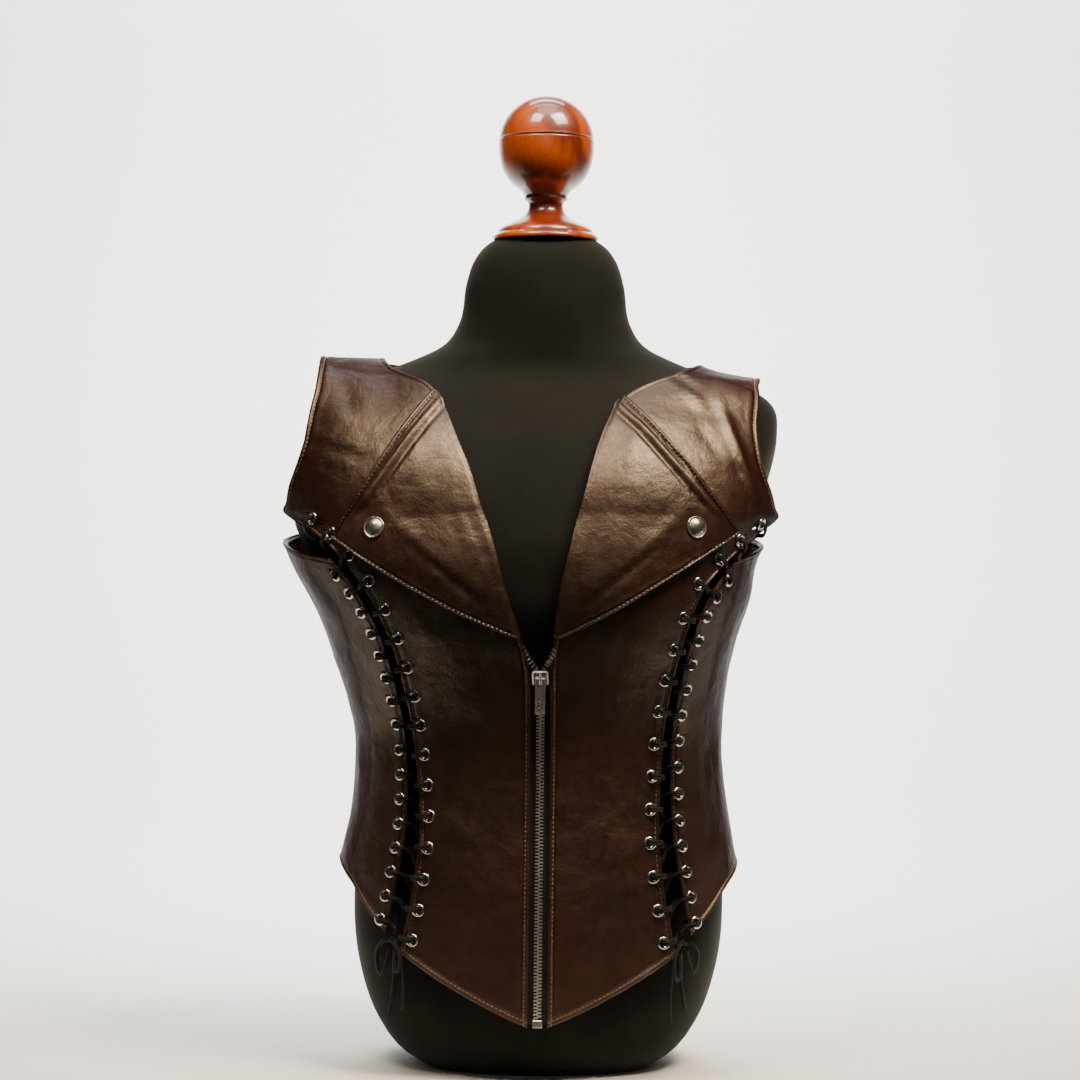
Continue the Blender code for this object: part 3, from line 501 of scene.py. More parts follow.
def edge_frame(side, part, level):
    """A point of a laced edge with the ways in from the edge and out of the leather."""
    edge, inward = EDGE_OF[part], -1 if part == "front" else 1
    here = cloth(side, edge(side, level), level)
    above, below = (cloth(side, edge(side, level + step), level + step) for step in (2, -2))
    along = unit(above - below)
    across = cloth(side, edge(side, level) + 6 * inward, level) - here
    across = unit(across - along * (across @ along))
    outward = np.cross(along, across)
    if outward[:2] @ here[:2] < 0:
        outward = -outward
    return here, across, outward


def eyelet_levels(side, part):
    """Levels of the edge beside the eyelets, which are evenly apart along it."""
    top = EYELET_TOP if part == "front" else SIDE_EYELET_TOP
    bottom = EYELET_BOTTOM if part == "front" else SIDE_EYELET_BOTTOM
    levels = np.linspace(bottom, top, 60)
    edge = np.array([cloth(side, EDGE_OF[part](side, level), level) for level in levels])
    run = run_of(edge)
    return np.interp(np.linspace(run[-1], 0, EYELETS[side]), run, levels)


def eyelets(side, part):
    """Each eyelet's middle on the outer face, the way towards the laced edge, and the way out."""
    found = []
    for level in eyelet_levels(side, part):
        here, across, outward = edge_frame(side, part, level)
        found.append((here + across * EYELET_INSET, -across, outward))
    return found


def lapel_span(side, v):
    """Where a line of the lapel starts on the roll line and ends on its free edge, seen from the front."""
    if v <= 0.52:
        start = np.array([0.0, ZIP_TOP + 3 + (SHOULDER_BASE - ZIP_TOP - 3) * v / 0.52])
        start[0] = ROLL_LINE.read(side, start[1])
    else:
        degrees = NECK_EDGE.rows[4][0] * (v - 0.52) / 0.48
        across = NECK_EDGE.read(side, degrees)
        rise = SHOULDER_TOP.read(side, across) - SHOULDER_BASE
        start = np.array([across, SHOULDER_BASE + rise * math.sin(math.radians(degrees)) ** ARCH_POWER])
    return start


def lapel_grid(side, rows, columns):
    """Outer points of the front under the lapel: a triangle from the roll line to its tip."""
    tip = np.array(LAPEL_TIP[side])
    low, high = lapel_span(side, 0.0), lapel_span(side, 1.0)
    halves = []
    for first, last in ((0.02, 0.5), (0.5, 0.985)):
        grid = []
        for v in np.linspace(first, last, rows):
            start = lapel_span(side, v)
            if v <= 0.5:
                s = v / 0.5
                end = low + (tip - low) * s + np.array([2.0, -LAPEL_LOW_EDGE_SAG]) * math.sin(math.pi * s)
            else:
                s = (v - 0.5) / 0.5
                end = tip + (high - tip) * s + np.array([0.8, 1.2]) * math.sin(math.pi * s)
            grid.append([on_front(side, *(start + (end - start) * u)) for u in np.linspace(0, 1, columns)])
        halves.append(np.array(grid))
    return halves


def blend_path(points, spacing):
    """Points along a smooth curve through the given ones, evenly apart."""
    points = np.array(points, float)
    ghost = np.vstack([2 * points[0] - points[1], points, 2 * points[-1] - points[-2]])
    fine = [
        spline(*knots, t)
        for knots in zip(ghost, ghost[1:], ghost[2:], ghost[3:])
        for t in np.linspace(0, 1, 12, endpoint=False)
    ]
    fine = np.array([*fine, points[-1]])
    along = run_of(fine)
    wanted = np.linspace(0, along[-1], max(int(along[-1] / spacing), 3) + 1)
    return read_along(wanted, along, fine)


def lace_route(side):
    """One lace down a side: up a front's hole, over its edge, under the side panel, and up its hole."""
    over = EYELET_SEAT + EYELET_HEIGHT + LACE_RADIUS + LACE_CLEAR
    under = LEATHER + LACE_RADIUS + LACE_CLEAR
    holes = [hole for pair in zip(eyelets(side, "front"), eyelets(side, "side")) for hole in pair]
    route = []
    for i, (middle, to_edge, out) in enumerate(holes):
        edge = middle + to_edge * EYELET_INSET
        gap = edge + to_edge * GAP_STEP - out * GAP_DEPTH - np.array([0, 0, GAP_DROP])
        route += [middle - out * under, middle + out * over, edge + to_edge * 0.5 + out * over * 0.92, gap]
        if i + 1 < len(holes):
            next_middle, next_edge, next_out = holes[i + 1]
            below = next_middle + next_edge * (EYELET_INSET - 2.5) - next_out * (under + UNDER_SAG)
            if gap[2] - below[2] > STEEP_LACE:
                route.append((gap + below) / 2 - next_out * STEEP_SAG)
            route.append(below)
    route.append(route[-1] - np.array([0, 0, LACE_END_DROP]))
    return route


def zip_middle(level):
    """The zip's middle on the fronts' outer face, with the ways up and out there."""
    here = cloth("left", 0, level)
    up = unit(cloth("left", 0, level + 4) - cloth("left", 0, level - 4))
    return here, up, unit(np.cross((1, 0, 0), up))


SHELL = 1.8  # finished wall of the fine leather shells
SHELL_EDGE, METAL_EDGE = 0.45, 0.22  # width of the softened edges
MERGE = 2e-6  # metres: points this close are one
EDGE_ROWS = (0, 0.7, 1.4, 2.2, 3.0, 3.7, 4.4, 5.4, 6.8)  # rows of points beside a turned edge
CORD = 0.95  # radius of each of the two strands that lie side by side through the eyelets
BOW_CORD = 1.4
CORD_SIDES = 8
CREASE_DEPTH = 1.35  # all heights of the creases below are times this

# Soft creases and ridges, as seen from the front: where each runs, its half-width and its height.
CREASES = {
    "front_panel_right": (
        (-176, 456, -119, 438, 3.0, -0.9),
        (-160, 441, -153, 432, 2.2, -0.7),
        (-166, 478, -128, 470, 6.0, 0.8),
        (-150, 505, -132, 462, 7.0, -0.6),
        (-96, 330, -60, 300, 9.0, 0.7),
        (-74, 262, -30, 244, 10.0, -0.6),
        (-82, 180, -24, 172, 11.0, 0.6),
        (-86, 132, -40, 118, 8.0, -0.5),
    ),
    "front_panel_left": (
        (126, 488, 152, 414, 3.6, 1.5),
        (84, 514, 106, 505, 2.6, 1.3),
        (92, 508, 112, 492, 2.4, -1.1),
        (100, 498, 118, 478, 3.0, 1.0),
        (108, 470, 128, 446, 4.0, -0.8),
        (136, 440, 150, 424, 3.0, -0.9),
        (58, 322, 96, 300, 9.0, 0.7),
        (30, 258, 78, 236, 10.0, -0.6),
        (26, 176, 80, 166, 11.0, 0.6),
        (40, 120, 84, 134, 8.0, -0.5),
    ),
    "lapel_right": (
        (-84, 474, -34, 360, 7.0, 1.0),
        (-70, 440, -28, 348, 5.0, -0.9),
        (-118, 410, -60, 356, 6.0, 0.8),
        (-96, 384, -40, 338, 3.5, -0.8),
        (-60, 420, -52, 380, 5.0, 0.6),
    ),
    "lapel_left": (
        (70, 470, 26, 362, 7.0, 1.0),
        (58, 440, 22, 350, 5.0, -0.9),
        (104, 412, 56, 362, 6.0, 0.8),
        (88, 388, 34, 342, 3.5, -0.8),
        (82, 478, 108, 424, 4.0, 1.0),
    ),
}

LAPEL_LIFT = (2.6, 5.9)  # of its outer face over the front's, at the roll line and at its free edges
EYELET_LIFT = 0.25
STITCH_INSET = 3.8
STITCH_PITCH = 3.3
STITCH = (1.3, 0.62)  # half-length and radius
STITCH_LIFT = 0.12
TOOTH_PITCH = 2.4

CAMERA_PLACE = (-0.0017, -2.2, 0.3846)  # metres
CAMERA_LENS = (99.0, 36.0)  # millimetres: its focal length and the sensor's width
CAMERA_ROLL = -0.62  # degrees

# name, place and size in metres, watts, colour, degrees of spread, and what it is aimed at
LAMPS = (
    ("key", (0.62, -0.6, 1.8), 0.7, 6.6, "#ffe9cc", 55, (0, 0, 0.42)),
    ("second", (-0.45, -0.62, 1.76), 0.5, 2.2, "#ffe9cc", 55, (0, 0, 0.42)),
    ("overhead", (0.0, -0.2, 1.9), 0.7, 1.6, "#fff6ea", 90, (0, 0, 0.42)),
    ("fill", (0.0, -2.4, 1.5), 1.2, 0.3, "#ffffff", 60, (0, 0, 0.42)),
    ("wall_wash", (0.0, 0.9, 2.9), 1.8, 165.0, "#ffffff", 110, (0, 2.6, 0.9)),
    ("floor_wash", (0.0, 0.8, 1.65), 0.8, 10.5, "#ffffff", 84, (0, 0.86, 0)),
)


def select_only(*pieces):
    bpy.ops.object.select_all(action="DESELECT")
    for piece in pieces:
        piece.select_set(True)
    bpy.context.view_layer.objects.active = pieces[0]


@contextmanager
def edited(made):
    """Opens a piece's mesh for changes, and puts it back."""
    shape = bmesh.new()
    shape.from_mesh(made.data)
    shape.faces.ensure_lookup_table()
    yield shape
    shape.to_mesh(made.data)
    shape.free()


def turn_out(shape):
    """Turns the faces of a closed shape outwards."""
    bmesh.ops.recalc_face_normals(shape, faces=shape.faces)
    if shape.calc_volume(signed=True) < 0:
        bmesh.ops.reverse_faces(shape, faces=shape.faces)


def face_towards(shape, face, way):
    """Turns the faces of an open sheet, so that this one looks that way."""
    if shape.faces[face].normal.dot(way) < 0:
        bmesh.ops.reverse_faces(shape, faces=shape.faces)


def soften(made, width, degrees):
    """Rounds the edges that are sharper than an angle."""
    step = made.modifiers.new("soften", "BEVEL")
    step.width, step.segments = width * MM, 2
    step.limit_method, step.angle_limit = "ANGLE", math.radians(degrees)


def thicken(made, thickness, even=False):
    """Makes a wall behind a sheet."""
    step = made.modifiers.new("wall", "SOLIDIFY")
    step.thickness, step.offset, step.use_even_offset = thickness * MM, -1, even


def new_grid(name, points, wrap=False):
    """A grid primitive whose corners are moved to rows and columns of points in millimetres."""
    bpy.ops.object.select_all(action="DESELECT")
    rows, columns = points.shape[:2]
    bpy.ops.mesh.primitive_grid_add(x_subdivisions=columns - 1, y_subdivisions=rows - 1, size=1.0)
    made = bpy.context.object
    made.name = made.data.name = name
    made.data.vertices.foreach_set("co", (points.reshape(-1, 3) * MM).ravel())
    made.data.update()
    if wrap:
        close_round(made)
    return made


def close_round(made):
    """Merges the seam of a grid that was wrapped round, caps its open ends, and turns its faces out."""
    with edited(made) as shape:
        bmesh.ops.remove_doubles(shape, verts=shape.verts, dist=MERGE)
        rims = [edge for edge in shape.edges if edge.is_boundary]
        if rims:
            bmesh.ops.holes_fill(shape, edges=rims, sides=0)
        turn_out(shape)


def finish_piece(made, finish, angle=40, nodes=(), body=BODY):
    """Gives a piece its material and its body, and hides the solids it stands for."""
    made.data.materials.clear()
    made.data.materials.append(finish)
    select_only(made)
    bpy.ops.object.transform_apply(location=True, rotation=True, scale=True)
    bpy.ops.object.shade_smooth_by_angle(angle=math.radians(angle))
    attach(made, body)
    if nodes:
        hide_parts(*nodes)
    return made


def apply_modifiers(made):
    select_only(made)
    for step in list(made.modifiers):
        bpy.ops.object.modifier_apply(modifier=step.name)


def between(values, at):
    """Reads rows of points at whole and part numbers of rows, on a smooth curve through them."""
    at = np.clip(at, 0, len(values) - 1)
    i = np.minimum(at.astype(int), len(values) - 2)
    t = (at - i).reshape((-1,) + (1,) * (values.ndim - 1))
    last = len(values) - 1
    b, c = values[i], values[i + 1]
    a = np.where((i == 0).reshape(t.shape), 2 * b - c, values[np.maximum(i - 1, 0)])
    d = np.where((i + 2 > last).reshape(t.shape), 2 * c - b, values[np.minimum(i + 2, last)])
    return spline(a, b, c, d, t)


def refined(grid, row_places, column_places):
    """A coarse grid of points read along smooth curves, at shares of its length and width."""
    rows = between(grid, row_places * (len(grid) - 1))
    across = between(rows.swapaxes(0, 1), column_places * (grid.shape[1] - 1))
    return across.swapaxes(0, 1)


def places(length, step):
    """Shares of a length, close together beside both of its ends and evenly apart between them."""
    inner = np.linspace(8.5, length - 8.5, max(int((length - 17) / step), 2))
    return np.array([*EDGE_ROWS, *inner, *(length - c for c in reversed(EDGE_ROWS))]) / length


def lengths_along(grid, axis):
    """How far each point lies from the grid's first edge and from its last, along one axis."""
    steps = np.linalg.norm(np.diff(grid, axis=axis), axis=2)
    first = np.zeros_like(np.take(steps, [0], axis=axis))
    start = np.concatenate([first, np.cumsum(steps, axis=axis)], axis=axis)
    whole = np.take(start, [-1], axis=axis)
    return start, whole - start


def turned_edge(distance, width=9.0):
    """Relief beside a turned and stitched edge: a full roll, the groove of its stitches, and its step."""
    roll = 0.65 * np.exp(-(((distance - 1.6) / 1.4) ** 2))
    groove = -0.75 * np.exp(-(((distance - STITCH_INSET) / 0.9) ** 2))
    step = 0.35 / (1 + np.exp(np.clip((distance - width) / 0.8, -30, 30)))
    return roll + groove + step


def near_line(points, x0, z0, x1, z1):
    """Distance of points from a line seen from the front, and how far along it they lie."""
    way = np.array([x1 - x0, z1 - z0])
    flat = points[..., [0, 2]] - np.array([x0, z0])
    along = np.clip(flat @ way / (way @ way), 0, 1)
    return np.linalg.norm(flat - along[..., None] * way, axis=-1), along


def creases_of(name, points):
    relief = np.zeros(points.shape[:2])
    for x0, z0, x1, z1, half_width, height in CREASES.get(name, ()):
        distance, along = near_line(points, x0, z0, x1, z1)
        fade = np.sin(np.pi * np.clip(along, 0.02, 0.98)) ** 0.6
        relief += CREASE_DEPTH * height * np.exp(-((distance / half_width) ** 2)) * fade
    return relief


def soft_relief(points, height=0.5, size=42.0, seed=0.0):
    """The slight unevenness of hand-cut leather."""
    flat = points.reshape(-1, 3)
    found = [noise.noise(Vector((p[0] / size + seed, p[1] / size, p[2] / (size * 1.4)))) for p in flat]
    fine = [noise.noise(Vector((p[0] / 13 + seed, p[1] / 13 + 7, p[2] / 17))) for p in flat]
    return (height * np.array(found) + 0.3 * height * np.array(fine)).reshape(points.shape[:2])


def open_holes(shape, holes):
    """Opens round holes in a sheet: corners near a hole move to its rim, and the rest inside go."""
    if not holes:
        return
    gone = []
    rim = EYELET_HOLE + 0.6
    for vert in shape.verts:
        place = vert.co / MM
        middle = min(holes, key=lambda hole: (place - hole).length)
        away = place - middle
        flat = away - vert.normal * away.dot(vert.normal)
        if abs(away.dot(vert.normal)) > 6 or flat.length >= rim:
            continue
        if flat.length < 0.62 * rim:
            gone.append(vert)
        else:
            vert.co += flat.normalized() * (rim - flat.length) * MM
    bmesh.ops.delete(shape, geom=gone, context="VERTS")


def leather_shell(name, points, relief, finish, holes=()):
    """A wall of leather under a fine grid of outer points, with its eyelet holes and rounded edges."""
    normals = grid_normals(points)
    outer = points + normals * relief[..., None]
    made = new_grid(f"{name}_leather", outer)
    with edited(made) as shape:
        middle = Vector(normals[len(normals) // 2, normals.shape[1] // 2])
        face_towards(shape, len(shape.faces) // 2, middle)
        open_holes(shape, holes)
    thicken(made, SHELL, even=True)
    soften(made, SHELL_EDGE, 60)
    apply_modifiers(made)
    finish_piece(made, finish, nodes=[name], angle=50)
    return outer


def inset_line(points, axis, last, inset=STITCH_INSET):
    """Places of stitches beside the first or last edge of a grid, with the ways out of the leather."""
    distance = lengths_along(points, 1 - axis)[int(last)]
    normals = grid_normals(points)
    found = []
    for k in range(points.shape[axis]):
        line, away, outs = (np.take(grid, k, axis=axis) for grid in (points, distance, normals))
        order = np.argsort(away)
        out = unit(read_along(inset, away[order], outs[order]))
        found.append((read_along(inset, away[order], line[order]) + out * STITCH_LIFT, out))
    return found


def evenly(line, pitch):
    """Places at an even pitch along a line of points and outward ways."""
    spots = np.array([place for place, _ in line])
    outs = np.array([out for _, out in line])
    along = run_of(spots)
    wanted = np.arange(pitch / 2, along[-1] - pitch / 3, pitch)
    place = read_along(wanted, along, spots)
    return place, np.gradient(place, axis=0), read_along(wanted, along, outs)


def template(build):
    """Models a small shape once, in millimetres, gives its points and faces, and removes it."""
    bpy.ops.object.select_all(action="DESELECT")
    build()
    made = bpy.context.object
    bpy.ops.object.transform_apply(location=True, rotation=True, scale=True)
    points = np.array([tuple(v.co) for v in made.data.vertices])
    faces = [tuple(p.vertices) for p in made.data.polygons]
    bpy.data.objects.remove(made)
    return points, faces


def copies(name, shape, places_of, finish, nodes=(), angle=40, body=BODY):
    """Copies of a small shape at frames of place, X, Y and Z ways, joined into one piece."""
    points, faces = shape
    every, joined = [], []
    for place, across, along, out in places_of:
        first = len(every) * len(points)
        every.append(points @ np.array([across, along, out]) + place)
        joined += [tuple(i + first for i in face) for face in faces]
    mesh = bpy.data.meshes.new(name)
    mesh.from_pydata([tuple(p) for p in (np.concatenate(every) * MM)], [], joined)
    made = bpy.data.objects.new(name, mesh)
    bpy.context.scene.collection.objects.link(made)
    return finish_piece(made, finish, nodes=nodes, angle=angle, body=body)


def stitch_shape():
    """One stitch: a short thread with tapered ends, lying along Y."""

    def build():
        bpy.ops.mesh.primitive_uv_sphere_add(segments=6, ring_count=5, radius=1.0)
        bpy.context.object.rotation_euler = (math.radians(90), 0, 0)
        bpy.ops.object.transform_apply(rotation=True)
        bpy.context.object.scale = (STITCH[1], STITCH[0], STITCH[1])

    return template(build)


def sew(name, lines, finish):
    """Stitches along lines that run beside a piece's edges."""
    frames = []
    for line in lines:
        for place, way, out in zip(*evenly(line, STITCH_PITCH)):
            along = unit(way)
            out = unit(out - along * (out @ along))
            frames.append((place, np.cross(along, out), along, out))
    return copies(name, stitch_shape(), frames, finish)


def spin_profile(profile, steps):
    """Spins a profile of radius and height pairs round Z, in millimetres, as one shape."""
    bpy.ops.object.select_all(action="DESELECT")
    bpy.ops.mesh.primitive_plane_add(size=1.0)
    made = bpy.context.object
    shape = bmesh.new()
    rim = [shape.verts.new((radius, 0, height)) for radius, height in profile]
    for a, b in zip(rim, rim[1:]):
        shape.edges.new((a, b))
    bmesh.ops.spin(
        shape,
        geom=shape.verts[:] + shape.edges[:],
        cent=(0, 0, 0),
        axis=(0, 0, 1),
        angle=2 * math.pi,
        steps=steps,
    )
    bmesh.ops.remove_doubles(shape, verts=shape.verts, dist=1e-3)
    turn_out(shape)
    shape.to_mesh(made.data)
    shape.free()
    return made


def arc(middle, radius, start, end, steps):
    """Points of an arc in a profile, its angles in degrees from +X."""
    turns = np.radians(np.linspace(start, end, steps))
    return [(middle[0] + radius * math.cos(t), middle[1] + radius * math.sin(t)) for t in turns]


def eyelet_shape():
    """A rolled flange, a barrel through the leather, and a small roll behind it."""
    profile = [
        (EYELET_HOLE - 0.3, -2.4),
        (EYELET_HOLE - 0.3, 0.3),
        (EYELET_HOLE - 0.1, 0.75),
        (EYELET_HOLE + 0.45, 1.05),
        (EYELET_HOLE + 1.15, 1.05),
        (EYELET_RIM - 0.35, 0.7),
        (EYELET_RIM, 0.2),
        (EYELET_RIM, 0.0),
        (EYELET_HOLE + 0.1, 0.0),
        (EYELET_HOLE + 0.1, -2.0),
        (EYELET_HOLE + 1.2, -2.2),
        (EYELET_HOLE + 1.2, -2.6),
        (EYELET_HOLE - 0.1, -2.6),
        (EYELET_HOLE - 0.3, -2.4),
    ]
    return template(lambda: spin_profile(profile, 20))


def ring_frames(side, part, points):
    """Where each eyelet's ring lies on the finished leather, and how it tilts with it."""
    normals = grid_normals(points)
    frames = []
    for middle, to_edge, _ in eyelets(side, part):
        away = np.linalg.norm(points - middle, axis=2)
        near = away < EYELET_RIM + 2.0
        out = unit(normals[near].mean(axis=0))
        to_edge = unit(to_edge - out * (to_edge @ out))
        height = ((points[near] - middle) @ out).mean()
        frames.append((middle + out * (height + EYELET_LIFT), to_edge, np.cross(out, to_edge), out))
    return frames


def tube_points(path, radius):
    """Rings round a path in millimetres, smaller at its ends, with a frame that doesn't twist."""
    ahead = np.gradient(path, axis=0)
    up = unit(np.cross(ahead[0], (0.31, 0.2, 0.93)))
    sizes = np.ones(len(path)) * radius
    sizes[[0, -1]] *= 0.55
    turns = np.linspace(0, 2 * math.pi, CORD_SIDES + 1)
    rings = []
    for place, way, size in zip(path, ahead, sizes):
        way = unit(way)
        up = unit(up - way * (up @ way))
        out = np.cross(way, up)
        rings.append([place + size * (math.cos(t) * up + math.sin(t) * out) for t in turns])
    return np.array(rings)


def cord_piece(name, paths, radius, finish, nodes=()):
    """Braided cords along paths, joined into one piece. Their UV holds the way round, and metres along."""
    made = []
    for path in paths:
        rings = tube_points(path, radius)
        part = new_grid(name, rings)
        along = run_of(path) * MM
        layer = part.data.uv_layers.active or part.data.uv_layers.new(name="UVMap")
        columns = rings.shape[1]
        for loop in part.data.loops:
            row, column = divmod(loop.vertex_index, columns)
            layer.data[loop.index].uv = (column / (columns - 1), along[row])
        close_round(part)
        made.append(part)
    select_only(*made)
    if len(made) > 1:
        bpy.ops.object.join()
    made[0].name = name
    return finish_piece(made[0], finish, nodes=nodes, angle=60)


def srgb(code):
    """Linear colour of an sRGB hex code."""
    parts = [int(code[i : i + 2], 16) / 255 for i in (1, 3, 5)]
    return tuple(p / 12.92 if p <= 0.04045 else ((p + 0.055) / 1.055) ** 2.4 for p in parts) + (1.0,)


def add(tree, kind, inputs=None, **settings):
    """Adds a node with its settings, and links or sets its inputs."""
    made = tree.nodes.new(kind)
    for name, value in settings.items():
        setattr(made, name, value)
    for name, value in (inputs or {}).items():
        socket = made.inputs[name]
        if isinstance(value, bpy.types.NodeSocket):
            tree.links.new(value, socket)
        else:
            socket.default_value = value
    return made


def new_material(name, **values):
    made = bpy.data.materials.new(name)
    made.use_nodes = True
    tree = made.node_tree
    shader = tree.nodes["Principled BSDF"]
    for socket, value in values.items():
        shader.inputs[socket.replace("_", " ")].default_value = value
    place = add(tree, "ShaderNodeTexCoord").outputs["Object"]
    return made, tree, shader, place


def feed(tree, shader, **sockets):
    """Links what textures give to the shader's inputs."""
    for socket, value in sockets.items():
        tree.links.new(value, shader.inputs[socket.replace("_", " ")])


def bumped(tree, strength, distance, height, **more):
    inputs = {"Strength": strength, "Distance": distance, "Height": height, **more}
    return add(tree, "ShaderNodeBump", inputs).outputs[0]


def mixed(tree, share, low, high):
    """The colour between two, by a share from a texture."""
    return add(tree, "ShaderNodeMix", {0: share, 6: low, 7: high}, data_type="RGBA").outputs[2]


def ranged(tree, value, from_low, from_high, to_low, to_high):
    span = {"From Min": from_low, "From Max": from_high, "To Min": to_low, "To Max": to_high}
    return add(tree, "ShaderNodeMapRange", {"Value": value, **span}).outputs["Result"]


def noise_of(tree, place, per_metre, detail=3.0, roughness=0.5, distortion=0.0):
    pattern = {"Scale": per_metre, "Detail": detail, "Roughness": roughness, "Distortion": distortion}
    return add(tree, "ShaderNodeTexNoise", {"Vector": place, **pattern}).outputs["Fac"]


def stretched(tree, place, scale, start=(0.0, 0.0, 0.0)):
    return add(tree, "ShaderNodeMapping", {"Vector": place, "Location": start, "Scale": scale}).outputs[0]


def garment_leather():
    """Aniline-finished lamb: a fine tight grain, soft pulls in the skin, and a low waxy sheen."""
    made, tree, shader, place = new_material("garment_leather", Specular_Tint=(1.0, 0.84, 0.66, 1.0))
    facing = add(tree, "ShaderNodeLayerWeight", {"Blend": 0.5}).outputs["Facing"]
    blotch = noise_of(tree, place, 14.0, detail=4.0, roughness=0.6)
    mottle = noise_of(tree, place, 120.0, detail=5.0, roughness=0.7)
    warm = mixed(tree, ranged(tree, blotch, 0.35, 0.68, 0, 1), srgb("#190703"), srgb("#2b0f06"))
    worn = mixed(tree, ranged(tree, mottle, 0.5, 0.8, 0, 0.4), warm, srgb("#33200f"))
    pores = add(tree, "ShaderNodeTexVoronoi", {"Vector": place, "Scale": 950.0}, feature="F1")
    pulls = noise_of(tree, place, 48.0, detail=5.0, roughness=0.55, distortion=0.2)
    soft = bumped(tree, 0.42, 0.004, pulls)
    feed(
        tree,
        shader,
        Base_Color=worn,
        Roughness=ranged(tree, mottle, 0.3, 0.7, 0.36, 0.5),
        Specular_IOR_Level=ranged(tree, facing, 0.2, 0.55, 0.95, 0.04),
        Normal=bumped(tree, 0.3, 0.0003, pores.outputs["Distance"], Normal=soft),
    )
    return made


def black_jersey():
    """Cotton jersey pulled tight: matt, with fine ribs of knitting and a little sheen at the rim."""
    made, tree, shader, place = new_material(
        "cotton_jersey", Roughness=0.9, Sheen_Weight=0.08, Sheen_Roughness=0.4, Specular_IOR_Level=0.2
    )
    cloudy = noise_of(tree, place, 30.0, detail=3.0)
    colour = mixed(tree, ranged(tree, cloudy, 0.3, 0.7, 0, 1), srgb("#0b0c09"), srgb("#12130e"))
    knit = noise_of(tree, stretched(tree, place, (1.0, 1.0, 0.45)), 1500.0, detail=2.0)
    feed(tree, shader, Base_Color=colour, Normal=bumped(tree, 0.35, 0.0004, knit))
    return made


def varnished_beech():
    """Turned beech under thick orange varnish: dark growth rings, small flecks and a glassy coat."""
    made, tree, shader, place = new_material(
        "varnished_beech", Coat_Weight=1.0, Coat_Roughness=0.04, Roughness=0.35
    )
    log = stretched(tree, place, (1.0, 1.0, 0.16), start=(0.02, 0.0, 0.0))
    growth = {"Vector": log, "Scale": 26.0, "Distortion": 5.0, "Detail": 3.0, "Detail Scale": 1.4}
    wave = add(tree, "ShaderNodeTexWave", growth, wave_type="RINGS", rings_direction="Y")
    rings = wave.outputs["Fac"]
    flecks = noise_of(tree, stretched(tree, place, (5, 5, 1)), 160.0, 2.0)
    base = mixed(tree, ranged(tree, rings, 0.2, 0.85, 0, 1), srgb("#b04c12"), srgb("#6e2408"))
    colour = mixed(tree, ranged(tree, flecks, 0.55, 0.75, 0, 0.5), base, srgb("#4a1604"))
    feed(tree, shader, Base_Color=colour, Normal=bumped(tree, 0.05, 0.0005, flecks))
    return made


def plated(name, code, roughness):
    """Bright nickel plate: clean, with faint handling marks that break up its reflections."""
    made, tree, shader, place = new_material(name, Metallic=1.0, Base_Color=srgb(code))
    marks = noise_of(tree, place, 700.0, detail=4.0, roughness=0.7)
    rubbed = ranged(tree, marks, 0.3, 0.75, roughness, roughness + 0.16)
    feed(tree, shader, Roughness=rubbed, Normal=bumped(tree, 0.25, 0.0002, marks))
    return made


def braided_cord():
    """Flat black polyester braid: strands that cross in a small herringbone, with a dull shine and painted
    shade in the grooves between them.
    """
    made, tree, shader, _ = new_material("braided_cord", Roughness=0.6, Specular_IOR_Level=0.3)
    across = add(tree, "ShaderNodeSeparateXYZ", {0: add(tree, "ShaderNodeUVMap").outputs[0]})

    def reckoned(operation, *values):
        return add(tree, "ShaderNodeMath", dict(enumerate(values)), operation=operation).outputs[0]

    run = reckoned("MULTIPLY", across.outputs[1], 2 * math.pi / 0.0022)
    turns = [reckoned("MULTIPLY", across.outputs[0], way * 4 * 2 * math.pi) for way in (1.0, -1.0)]
    slants = [reckoned("SINE", reckoned("ADD", turn, run)) for turn in turns]
    braid = reckoned("MAXIMUM", *slants)
    # Painted shade and painted highlight: the colour follows the braid's height, darker in its grooves and
    # lighter on the strands' crowns.
    colour = mixed(tree, ranged(tree, braid, -0.6, 1.0, 0, 1), srgb("#050505"), srgb("#1c1b18"))
    feed(tree, shader, Base_Color=colour, Normal=bumped(tree, 0.8, 0.0004, braid))
    return made


def woven_tape():
    """Black polyester zip tape: a fine twill, slightly shiny, with painted shade in the twill's grooves."""
    made, tree, shader, place = new_material("woven_tape", Roughness=0.65)
    weave = {"Vector": place, "Scale": 300.0, "Distortion": 0.4}
    twill = add(tree, "ShaderNodeTexWave", weave, bands_direction="DIAGONAL").outputs["Fac"]
    # Painted shade: the colour follows the twill's height, darker in its grooves and lighter on its raised
    # lines.
    colour = mixed(tree, twill, srgb("#070606"), srgb("#191614"))
    feed(tree, shader, Base_Color=colour, Normal=bumped(tree, 0.5, 0.0003, twill))
    return made


def sewing_thread(name, code):
    """Bonded thread: two plies laid along the stitch, with a soft shine."""
    made, tree, shader, place = new_material(name, Roughness=0.5, Sheen_Weight=0.15)
    plies = noise_of(tree, place, 1400.0, detail=1.0)
    shade = tuple(c * 0.55 for c in srgb(code)[:3]) + (1.0,)
    colour = mixed(tree, plies, shade, srgb(code))
    feed(tree, shader, Base_Color=colour, Normal=bumped(tree, 0.4, 0.0002, plies))
    return made


def pale_paint():
    """Matt pale studio paint, even but for a trace of roller texture."""
    made, tree, shader, place = new_material("pale_paint", Roughness=0.9, Base_Color=srgb("#efede8"))
    feed(tree, shader, Normal=bumped(tree, 0.03, 0.001, noise_of(tree, place, 60.0)))
    return made


